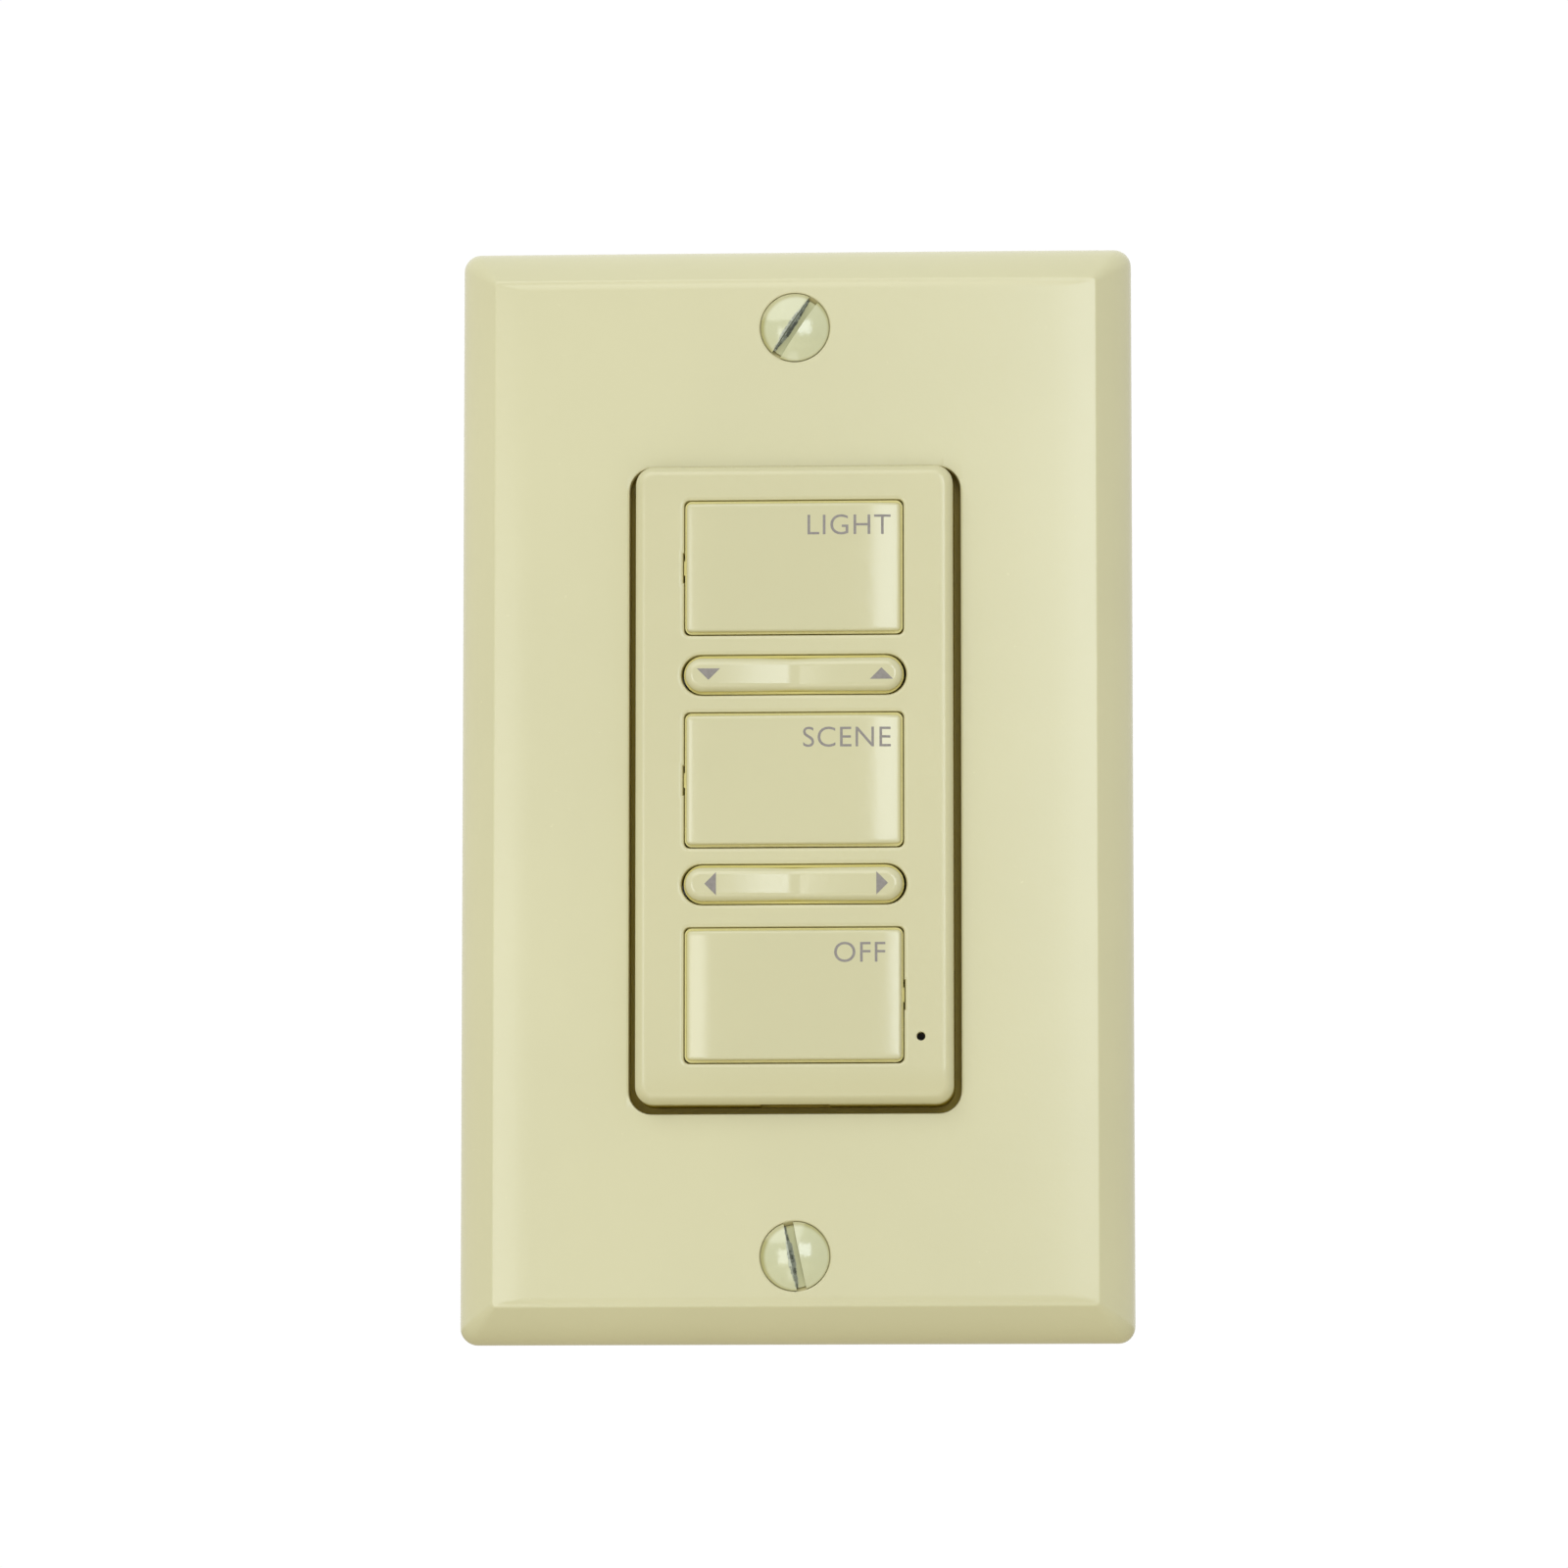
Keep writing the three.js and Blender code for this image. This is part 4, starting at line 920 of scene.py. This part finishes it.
def cap(solid, z, size, corner, edge, back, face, parts, step, hollow=None):
    """
    A cap with a rounded edge, whose front follows face(x). `step` is how far its side walls step out, along X
    and along Z, and at which depth; `hollow` is the thickness of the walls and of the face round its hollow.
    """
    width, height = size
    out_x, out_z, depth = step
    least_corner, spine, hollow_corner = 0.04, 0.06, 0.3

    def inside(inset, radius):
        """The cap's outline, made smaller by `inset` all round."""
        return rounded(width - 2 * inset, height - 2 * inset, radius, z=z, parts=parts)

    wide = rounded(width + 2 * out_x, height + 2 * out_z, corner + out_z, z=z, parts=parts)
    rings = [solid.loop(wide, y) for y in (back, depth)]
    rings.append(solid.loop(inside(0.0, corner), depth))
    reach = height / 2 - edge - spine
    rows = quarter_round(edge, 6)
    rows += [(edge + reach * share, 0.0) for share in (0.05, 0.12, 0.22, 0.36, 0.55, 0.78, 1.0)]
    for inset, drop in rows:
        outline = inside(inset, max(corner - inset, least_corner))
        rings.append(solid.loop(outline, lambda x, _, drop=drop: face(x) + drop))
    solid.skin(rings)
    solid.fill(rings[-1])
    if hollow is None:
        solid.fill(rings[0])
        return
    wall, skin = hollow
    inner = [solid.loop(inside(wall, hollow_corner), y) for y in (back, face(0) + skin)]
    solid.skin([rings[0], *inner])
    solid.fill(inner[1])


def button_face(s, name):
    """The front of a cap: flat, and falling away at the end that has no latch."""
    top, drop = low(f"{name}_button").y, mm(s.button_crown)
    half, free = mm(s.button_width) / 2, -latch_side(name)

    def face(x):
        side = x * free / half
        free_end, latch_end, belly = max(0.0, side) ** 7, 0.35 * max(0.0, -side) ** 9, 0.06 * side * side
        return top + drop * (free_end + latch_end + belly)

    return face


def rocker_face(s, name):
    """The front of a bar: a shallow V, steepest next to its middle."""
    end, rise = low(f"{name}_rocker").y, mm(s.bar_rise)
    half = mm(s.bar_width) / 2

    def face(x):
        part = min(1.0, abs(x) / half)
        return end + rise * ((1 - part) ** 1.7)

    return face


class KEYPAD_OT_buttons(bpy.types.Operator):
    """Builds the three push buttons, with their guides, latches and posts, and the words on them"""

    bl_idname = "keypad.buttons"
    bl_label = "Push buttons"

    def execute(self, context):
        s = settings("keypad_insert")
        colours = settings("keypad_finish")
        plastic = ivory("Button ivory", colours.cap, 0.13, window_gap_shade, 0.5, GAP_OLIVE)
        printed = ink("Word ink", colours.legend)
        width, height = mm(s.button_width), mm(s.button_height)
        ceiling = FRAME_FRONT + mm(s.skin) + 0.1
        for name in BUTTONS:
            middle = centre(f"{name}_button")
            face = button_face(s, name)
            back = FRAME_FRONT - 0.15 + mm(s.button_depth)
            solid = Solid()
            parts, step, hollow = (56, 16), (0.16, 0.255, FRAME_FRONT + 0.1), (1.2, 1.7)
            cap(solid, middle.z, (width, height), mm(s.button_corner), mm(s.button_edge), back, face,
                parts, step, hollow)
            # Each tab's reach beyond the cap, its front, its depth and half its height.
            guide = (1.4, ceiling, 1.1, 4)
            latch = (0.28, FRAME_FRONT + 0.15, 1.3, 0.75)
            for side, (reach, front, depth, half) in ((-1, guide), (1, guide), (latch_side(name), latch)):
                inner, outer = sorted((side * (width / 2 - 0.4), side * (width / 2 + reach)))
                solid.block((inner, front, middle.z - half), (outer, front + depth, middle.z + half))
            tip = low(f"{name}_switch_plunger").y - 0.1
            solid.turned([(1.7, FRAME_FRONT + 1.2), (1.7, tip - 0.2), (1.5, tip)], 0, middle.z, 32)
            finished(solid, f"{name}_button_cap", f"{name}_button", plastic,
                     [f"{name}_button"], crease=38, flat=False)
            right = width / 2 - (1.65 if name == "off" else 1.05)
            top = middle.z + height / 2 - 1.25
            write(name.upper(), right, top, mm(s.letter_height), face, printed, f"{name}_button")
        return {"FINISHED"}


# How far printed ink reaches in front of a face and behind it.
INK_FRONT, INK_BACK = 0.012, 0.018


def write(word, right, top, height, face, material, body):
    """Prints a word on a face, its last letter ending at `right` and its capitals reaching `top`."""
    curve = bpy.data.curves.new("word", "FONT")
    curve.body, curve.align_x, curve.align_y = word, "RIGHT", "TOP_BASELINE"
    curve.size, curve.offset, curve.resolution_u = 1.0, -0.004, 5
    curve.space_character = 1.06
    text = linked("text", curve)
    bpy.context.view_layer.update()
    mesh = bpy.data.meshes.new_from_object(text)
    bpy.data.objects.remove(text)
    lowest = min(v.co.y for v in mesh.vertices)
    scale = height / (max(v.co.y for v in mesh.vertices) - lowest)
    edge = max(v.co.x for v in mesh.vertices)
    printed = Solid(mesh)
    longest = [e for e in printed.bm.edges if e.calc_length() * scale > 0.5]
    bmesh.ops.subdivide_edges(printed.bm, edges=longest, cuts=3)
    for vertex in printed.bm.verts:
        x = right + (vertex.co.x - edge) * scale
        z = top - height + (vertex.co.y - lowest) * scale
        vertex.co = Vector((x, face(x) - INK_FRONT, z)) * MM
    finished_print(printed, f"{body}_word", body, material)


def finished_print(printed, name, body, material):
    """Thickens a printed shape into a film of ink and adds it as a piece."""
    top = printed.bm.faces[:]
    sides = bmesh.ops.extrude_face_region(printed.bm, geom=top)
    moved = [v for v in sides["geom"] if isinstance(v, bmesh.types.BMVert)]
    bmesh.ops.translate(printed.bm, verts=moved, vec=(0, (INK_FRONT + INK_BACK) * MM, 0))
    finished(printed, name, body, material, crease=60)


class KEYPAD_OT_rockers(bpy.types.Operator):
    """Builds the two rocker bars, their pins and legs, and the arrows on them"""

    bl_idname = "keypad.rockers"
    bl_label = "Rocker bars"

    def execute(self, context):
        s = settings("keypad_insert")
        colours = settings("keypad_finish")
        plastic = ivory("Rocker ivory", colours.cap, 0.13, window_gap_shade, 0.5, GAP_OLIVE)
        printed = ink("Arrow ink", colours.legend)
        steel = zinc("Pin steel", colours.zinc)
        width, height = mm(s.bar_width), mm(s.bar_height)
        plungers = {"dimming": "dim_down", "scene": "scene_back"}
        # Each arrow's place across the bar, and its turn in degrees.
        arrows = {"dimming": ((-8.8, -90), (9.1, 90)), "scene": ((-8.6, 180), (9.15, 0))}
        for name in ROCKERS:
            node = f"{name}_rocker"
            z, pin = centre(node).z, centre(f"{node}_pin")
            face = rocker_face(s, name)
            root = face(0) + 1.2
            lug = Solid().block((-LUG, root, z - 1.5), (LUG, pin.y + 1.2, z + 1.5))
            solid = carved(lug, Solid().cross_rod(0.72, pin.y, z - 3, z + 3))
            back, parts, step = face(0) + 1.4, (24, 1), (0.13, 0.255, FRAME_FRONT + 0.2)
            cap(solid, z, (width, height), height / 2 - 0.02, mm(s.bar_edge), back, face, parts, step)
            tip = low(f"{plungers[name]}_switch_plunger").y - 0.15
            for x in (-8, 8):
                solid.turned([(1.2, root), (1.2, tip - 0.25), (0.95, tip)], x, z, 24)
            finished(solid, f"{node}_bar", node, plastic, [node], crease=38, flat=False)
            rod = Solid().cross_rod(0.6, pin.y, pin.z - 3.4, pin.z + 3.4)
            finished(rod, f"{node}_pin_rod", "housing", steel, [f"{node}_pin"], bevel=0.1)
            for number, (x, turn) in enumerate(arrows[name]):
                self.arrow(s, f"{name}_arrow_{number + 1}", x, z, radians(turn), face, printed, node)
        return {"FINISHED"}

    def arrow(self, s, name, x, z, turn, face, material, body):
        """A solid triangle that points along `turn`, counted from +X towards +Z."""
        half, reach = mm(s.arrow_width) / 2, mm(s.arrow_height)
        rows = 6
        printed = Solid()
        edges = []
        for i in range(rows + 1):
            along, across = reach * (i / rows - 0.5), half * (1 - i / rows)
            row = []
            for offset in (-across, across):
                px = x + along * cos(turn) - offset * sin(turn)
                pz = z + along * sin(turn) + offset * cos(turn)
                row.append(printed.bm.verts.new(Vector((px, face(px) - INK_FRONT, pz)) * MM))
                if across == 0:
                    break
            edges.append(row)
        for near, far in zip(edges, edges[1:]):
            printed.bm.faces.new((*near, *far[::-1]))
        finished_print(printed, name, body, material)


# ------------------------------------------------------------------------------- screws and the strap


def slotted_head(solid, slot_width, floor_depth, reach):
    """The solid with a straight slot from in front of it to a depth."""
    half, ahead = slot_width / 2, floor_depth - 20
    return carved(solid, Solid().block((-half, ahead, -reach), (half, floor_depth, reach)))


class KEYPAD_OT_plate_screws(bpy.types.Operator):
    """Builds the two painted oval-head screws of the wall plate"""

    bl_idname = "keypad.plate_screws"
    bl_label = "Plate screws"

    def execute(self, context):
        s = settings("keypad_plate")
        colours = settings("keypad_finish")
        rim, radius, dome = PLATE_FRONT + 0.05, mm(s.screw_radius), mm(s.screw_dome)
        shank, pitch = mm(s.shank), mm(s.pitch)
        curvature = (radius**2 + dome**2) / (2 * dome)
        for name, turn in (("upper", s.upper_turn), ("lower", s.lower_turn)):
            node = f"plate_screw_{name}"
            z = centre(node).z
            neck, rows = rim + mm(s.screw_cone), 10
            profile = [(shank, neck + 0.6), (shank + 0.05, neck)]
            profile += [(radius - 0.04, rim + 0.03), (radius, rim - 0.03)]
            for i in range(1, rows + 1):
                r = radius * (1 - i / (rows + 0.4))
                profile.append((r, rim - dome + curvature - sqrt(curvature**2 - r**2)))
            solid = Solid().turned(profile, sides=96)
            head = slotted_head(solid, mm(s.slot_width), rim - dome + mm(s.slot_depth), radius + 1)
            head.thread(shank, pitch, neck + 0.3, high(node).y)
            head.put(turn, 0, z)
            paint = worn_paint(
                f"Painted screw {name}", colours.paint, colours.zinc, turn, z, mm(s.slot_width))
            finished(head, f"{node}_body", "housing", paint, [node], bevel=0.06)
        return {"FINISHED"}


class KEYPAD_OT_strap(bpy.types.Operator):
    """Builds the mounting strap, the box screws and their fibre retainers"""

    bl_idname = "keypad.strap"
    bl_label = "Mounting strap"

    def execute(self, context):
        colours = settings("keypad_finish")
        steel = zinc("Strap zinc", colours.zinc)
        front, back = STRAP_FRONT, high("mounting_strap").y
        reach = high("mounting_strap").z
        round_corner, shoulder, waist = 3, 38, 15
        middle, ear = (19, shoulder - round_corner), 16
        quarter = arc(*middle, round_corner, 0, 90) + [(waist, shoulder), (waist, reach - 9.5)]
        quarter += arc(ear, reach - 6.5, round_corner, -90, 0)
        quarter += arc(ear, reach - round_corner, round_corner, 0, 90)
        reset = centre("reset_switch_body")
        holes = [rounded(22.8, 58, 1.5, z=DEVICE_Z)]
        holes += [circle(1.2, screw.x, screw.z, 24) for screw in HOUSING_SCREWS]
        holes.append(circle(1.1, reset.x, reset.z, 24))
        for name, side in (("upper", 1), ("lower", -1)):
            box_z, plate_z = centre(f"box_screw_{name}").z, centre(f"plate_screw_{name}").z
            holes += [rounded(6.5, 4.0, 1.99, z=box_z), circle(1.75, 0, plate_z, 32)]
            holes += [circle(1.2, x, side * 47.5, 24) for x in (-14, 14)]
        strap = Solid().prism(four_quarters(quarter), front, back, holes)
        finished(strap, "strap_plate", "housing", steel, ["mounting_strap"], bevel=0.15)

        plate = settings("keypad_plate")
        washer = fibre("Vulcanised fibre")
        seat = front - 0.1
        profile = [(1.65, seat + 0.8), (1.7, seat), (3.3, seat), (3.28, seat - 0.5), (3.15, seat - 0.95),
                   (2.8, seat - 1.35), (2.2, seat - 1.68), (1.4, seat - 1.88), (0.6, seat - 1.95)]
        for name in ("upper", "lower"):
            node, retainer = f"box_screw_{name}", f"screw_retainer_{name}"
            z = centre(node).z
            head = slotted_head(Solid().turned(profile, sides=64), 1.0, seat - 1.0, 4)
            head.thread(mm(plate.shank), mm(plate.pitch), seat + 0.4, high(node).y)
            finished(head.put(0, 0, z), f"{node}_body", "housing", steel, [node], bevel=0.06)
            size = span(retainer)
            disc = Solid().prism(
                rounded(size.x, size.z, 1.5, z=z), low(retainer).y, high(retainer).y, [circle(1.8, 0, z, 32)])
            finished(disc, f"{retainer}_disc", "housing", washer, [retainer], bevel=0.08)
        return {"FINISHED"}


# ----------------------------------------------------------------------------------- housing and rear


# How far the housing's walls stay inside the edge of its flange.
HOUSING_DRAFT = 0.06


def housing_outline(inset, shelf):
    """The housing's outline, pulled in at its corners."""
    radius = 1.5 - inset / 2
    half = span("rear_housing").x / 2 - inset
    shoulder, neck, end = 29.3 - shelf, 9 - inset, 33 - inset
    quarter = (
        arc(half - radius, shoulder - radius, radius, 0, 90) + [(neck, shoulder)]
        + arc(neck - radius, end - radius, radius, 0, 90)
    )
    return moved(four_quarters(quarter), 0, DEVICE_Z)


class KEYPAD_OT_housing(bpy.types.Operator):
    """Builds the rear housing with its vents and wiring port, and the four screws that hold it"""

    bl_idname = "keypad.housing"
    bl_label = "Rear housing"

    def execute(self, context):
        colours = settings("keypad_finish")
        solid = Solid()
        front, back = low("rear_housing").y, high("rear_housing").y
        flange_back, inner = front + 2.4, back - 1.8
        size = span("rear_housing")

        flange = [solid.loop(rounded(size.x, size.z, 2.0, z=DEVICE_Z), y) for y in (front, flange_back)]
        cavity = [solid.loop(housing_outline(1.6, 1.0), y) for y in (front, inner)]
        bores = [
            [solid.loop(circle(1.15, screw.x, screw.z, 24), y) for y in (front, flange_back)]
            for screw in HOUSING_SCREWS
        ]
        walls = [solid.loop(housing_outline(HOUSING_DRAFT, HOUSING_DRAFT), flange_back)]
        for inset, drop in quarter_round(0.7, 5):
            inset += HOUSING_DRAFT
            walls.append(solid.loop(housing_outline(inset, inset), back - drop))
        block, gap = span("terminal_block"), 0.8
        cutouts = [((18, 1.4), 0.69, DEVICE_Z + 6 + 3.4 * i) for i in range(5)]
        cutouts.append(((block.x + gap, block.z + gap), 0.3, centre("terminal_block").z))
        steps = ((0.2, back), (0.0, back - 0.2), (0.0, inner))
        vents = [solid.loops(partial(grown, shape, corner, z=z), steps) for shape, corner, z in cutouts]
        for loops in (flange, cavity, walls, *bores, *vents):
            solid.skin(loops)
        solid.fill(flange[0], cavity[0], *(bore[0] for bore in bores))
        solid.fill(flange[1], walls[0], *(bore[1] for bore in bores))
        solid.fill(walls[-1], *(vent[0] for vent in vents))
        solid.fill(cavity[1], *(vent[-1] for vent in vents))

        board, power = high("keypad_board").y, high("power_board").y
        for x in (-1, 1):
            for z in (-1, 1):
                near, far = sorted((x * 17.4, x * 19.6))
                rib = DEVICE_Z + z * 20
                solid.block((near, board + 0.1, rib - 1), (far, inner + 0.2, rib + 1))
                solid.turned([(1.6, inner + 0.2), (1.6, power + 0.1)], x * 14, DEVICE_Z + z * 22.4, 20)
        plastic = moulded("Housing plastic", colours.housing, 0.55)
        finished(solid, "housing_shell", "housing", plastic, ["rear_housing"], crease=35)

        steel = zinc("Housing screw zinc", colours.zinc)
        for number, place in enumerate(HOUSING_SCREWS, 1):
            node = f"housing_screw_{number}"
            seat = high(node).y - 1.2
            profile = [(1.0, seat - 0.3), (1.0, seat), (1.75, seat), (1.75, seat + 0.5), (1.6, seat + 0.85),
                       (1.2, seat + 1.1), (0.6, seat + 1.2)]
            arms = ((0.25, 1.1), (1.1, 0.25))
            cross = [Solid().block((-x, seat + 0.6, -z), (x, seat + 3, z)) for x, z in arms]
            head = carved(Solid().turned(profile, sides=40), *cross)
            head.thread(0.98, 0.9, low(node).y, seat - 0.1, sides=20)
            head.put(0, place.x, place.z)
            finished(head, f"{node}_body", "housing", steel, [node], bevel=0.05)
        return {"FINISHED"}


class KEYPAD_OT_terminals(bpy.types.Operator):
    """Builds the terminal block, with its wells and wire entries, and its four clamp screws"""

    bl_idname = "keypad.terminals"
    bl_label = "Wiring terminals"

    def execute(self, context):
        colours = settings("keypad_finish")
        lowest, highest = low("terminal_block"), high("terminal_block")
        rear, bottom = highest.y, lowest.z
        places = [centre(f"terminal_screw_{number}") for number in range(1, 5)]
        cutters = []
        for place in places:
            for radius, depth, sides in ((2.0, 3.1, 40), (1.1, 7.1, 24)):
                well = [(radius, rear + 1), (radius, rear - depth)]
                cutters.append(Solid().turned(well, place.x, place.z, sides))
            cutters.append(Solid().block(
                (place.x - 1.7, rear - 4.3, bottom - 1), (place.x + 1.7, rear - 0.9, bottom + 2.5)))
        for left, right in zip(places, places[1:]):
            x, half, top = (left.x + right.x) / 2, 0.25, highest.z + 1
            cutters.append(Solid().block((x - half, rear - 0.4, bottom - 1), (x + half, rear + 1, top)))
        solid, node = carved(Solid().block(lowest, highest), *cutters), "terminal_block"
        plastic = moulded("Terminal green", colours.terminal, 0.45, 0.012)
        finished(solid, f"{node}_body", "housing", plastic, [node], bevel=0.12)

        steel = zinc("Clamp screw zinc", colours.zinc)
        seat, shank, radius = rear - 3.0, 0.98, 1.8
        for number, place in enumerate(places, 1):
            node = f"terminal_screw_{number}"
            profile = [(shank, low(node).y), (shank, seat), (radius, seat), (radius, seat + 1.5),
                       (1.65, seat + 1.72), (1.4, seat + 1.8)]
            slot = Solid().block((-0.35, seat + 1.0, -3), (0.35, seat + 3, 3))
            head = carved(Solid().turned(profile, sides=40), slot).put(radians(25 * number), place.x, place.z)
            finished(head, f"{node}_body", "housing", steel, [node], bevel=0.05)
        return {"FINISHED"}


class KEYPAD_OT_electronics(bpy.types.Operator):
    """Finishes the boards, switches and parts of the frame that are inside the housing"""

    bl_idname = "keypad.electronics"
    bl_label = "Electronics"

    def execute(self, context):
        # Each plastic's name, colour, roughness and depth of texture.
        black, white, chip, sleeve = (moulded(*look) for look in (
            ("Switch black", (0.012, 0.012, 0.014), 0.5, 0.01),
            ("Plunger white", (0.72, 0.7, 0.64), 0.45, 0.006),
            ("Chip epoxy", (0.016, 0.016, 0.018), 0.6, 0.015),
            ("Capacitor sleeve", (0.02, 0.03, 0.06), 0.3, 0.003),
        ))
        board = circuit("Solder mask")
        copper = windings("Copper windings")
        finishes = {
            "keypad_board": board, "power_board": board, "board_header": black, "microcontroller": chip,
            "voltage_regulator": chip, "filter_capacitor": sleeve, "choke_coil": copper,
        }
        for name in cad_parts:
            if name.endswith("_switch_body"):
                finishes[name] = black
            elif name.endswith("_switch_plunger"):
                finishes[name] = white
        for name, material in finishes.items():
            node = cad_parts[name]
            node.data.materials.clear()
            node.data.materials.append(material)
            soften(node, 0.1)
        return {"FINISHED"}


# -------------------------------------------------------------------------------------------- stage


def direction(azimuth, elevation):
    """From the keypad towards a place in front of it; a positive azimuth is to the right."""
    return Vector((sin(azimuth) * cos(elevation), -cos(azimuth) * cos(elevation), sin(elevation)))


class KEYPAD_OT_stage(bpy.types.Operator):
    """Sets the camera, the soft studio lights, the pale floor and the white surroundings"""

    bl_idname = "keypad.stage"
    bl_label = "Stage"

    def execute(self, context):
        s = settings("keypad_stage")
        scene = context.scene
        self.camera(scene, s)
        self.surroundings(scene, s)
        self.floor(s)
        # Each light's azimuth and elevation in degrees, its distance and size in metres, its power and tint.
        far, white, cool, blue = 1.3, (1.0, 1.0, 1.0), (0.93, 0.97, 1.0), (0.82, 0.9, 1.0)
        self.light("Key", (-20, 40), far, (1.1, 0.9), s.key, white)
        self.light("Right softbox", (11.5, 11), far, (0.42, 0.44), s.right, blue)
        self.light("Left softbox", (-18.5, 0), far, (0.36, 0.44), s.left, cool)
        self.light("Low softbox", (-6, -29), 0.42, (0.11, 0.1), s.low, cool)
        scene.view_settings.view_transform = "Standard"
        scene.view_settings.look = "None"
        return {"FINISHED"}

    def camera(self, scene, s):
        """A long lens that looks slightly up at the plate."""
        back = direction(s.azimuth, s.elevation)
        turn = (-back).to_track_quat("-Z", "Y")
        aim = turn @ Vector((s.aim_right, s.aim_up, 0))
        camera = bpy.data.objects.new("Camera", bpy.data.cameras.new("Camera"))
        camera.data.lens, camera.data.sensor_width = s.lens, 36.0
        camera.location = back * s.distance
        camera.rotation_mode = "QUATERNION"
        camera.rotation_quaternion = (aim - camera.location).to_track_quat("-Z", "Y")
        scene.collection.objects.link(camera)
        scene.camera = camera

    def surroundings(self, scene, s):
        """A white studio, brighter behind the keypad than in front of it."""
        world = bpy.data.worlds.new("Studio")
        scene.world = world
        world.use_nodes = True
        sky = Nodes(world.node_tree)
        background = sky.tree.nodes["Background"]
        place = sky.node("ShaderNodeTexCoord", output="Generated")
        depth = sky.node("ShaderNodeSeparateXYZ", inputs={0: place}, output="Y")
        change = {
            "Value": depth, "From Min": -0.55, "From Max": 0.5,
            "To Min": s.ambient, "To Max": s.backdrop,
        }
        strength = sky.node("ShaderNodeMapRange", {"interpolation_type": "SMOOTHSTEP"}, change)
        sky.feed(background.inputs["Strength"], strength)
        sky.feed(background.inputs["Color"], (1, 1, 1, 1))

    def floor(self, s):
        """A wide pale floor below the keypad."""
        half, thickness = 3000, 20
        outline = rectangle(2 * half, thickness, 0, -mm(s.floor_drop) - thickness / 2)
        floor_piece = linked("floor", Solid().prism(outline, -half, half).mesh("floor"))
        dark, light = (0.62, 0.57, 0.44, 1), (0.64, 0.59, 0.46, 1)
        paper = Graph("Floor paper", 0.8)
        paper.set("Base Color", paper.mix(paper.noise(0.01, 2.0), dark, light))
        floor_piece.data.materials.append(paper.material)

    def light(self, name, angles, distance, size, power, tint):
        """A rectangular light that faces the keypad."""
        place = direction(*map(radians, angles)) * distance
        lamp = bpy.data.lights.new(name, "AREA")
        lamp.shape, lamp.energy, lamp.color = "RECTANGLE", power, tint
        lamp.size, lamp.size_y = size
        thing = bpy.data.objects.new(name, lamp)
        thing.location = place
        thing.rotation_mode = "QUATERNION"
        thing.rotation_quaternion = (-place).to_track_quat("-Z", "Y")
        bpy.context.scene.collection.objects.link(thing)


# -------------------------------------------------------------------------------------------- add-on

GROUPS = {
    "keypad_plate": KeypadPlateSettings,
    "keypad_insert": KeypadInsertSettings,
    "keypad_finish": KeypadFinishSettings,
    "keypad_stage": KeypadStageSettings,
}
OPERATORS = (
    KEYPAD_OT_wall_plate,
    KEYPAD_OT_face_frame,
    KEYPAD_OT_buttons,
    KEYPAD_OT_rockers,
    KEYPAD_OT_plate_screws,
    KEYPAD_OT_strap,
    KEYPAD_OT_housing,
    KEYPAD_OT_terminals,
    KEYPAD_OT_electronics,
    KEYPAD_OT_stage,
)


class KEYPAD_PT_panel(bpy.types.Panel):
    """Lists the keypad's pieces and settings"""

    bl_idname = "KEYPAD_PT_panel"
    bl_label = "Wall keypad"
    bl_space_type = "VIEW_3D"
    bl_region_type = "UI"
    bl_category = "Keypad"

    def draw(self, context):
        for operator in OPERATORS:
            self.layout.operator(operator.bl_idname)
        for name, group in GROUPS.items():
            box = self.layout.box()
            box.label(text=group.__doc__)
            for key in group.__annotations__:
                box.prop(getattr(context.scene, name), key)


CLASSES = (*GROUPS.values(), *OPERATORS, KEYPAD_PT_panel)


def register():
    """Adds the settings, operators and panel to Blender."""
    for cls in CLASSES:
        bpy.utils.register_class(cls)
    for name, group in GROUPS.items():
        setattr(bpy.types.Scene, name, PointerProperty(type=group))


def unregister():
    """Takes them out again."""
    for name in GROUPS:
        delattr(bpy.types.Scene, name)
    for cls in reversed(CLASSES):
        bpy.utils.unregister_class(cls)


def main():
    """Builds the keypad piece by piece."""
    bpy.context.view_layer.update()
    register()
    for operator in OPERATORS:
        category, name = operator.bl_idname.split(".")
        getattr(getattr(bpy.ops, category), name)()


if __name__ == "__main__":
    main()
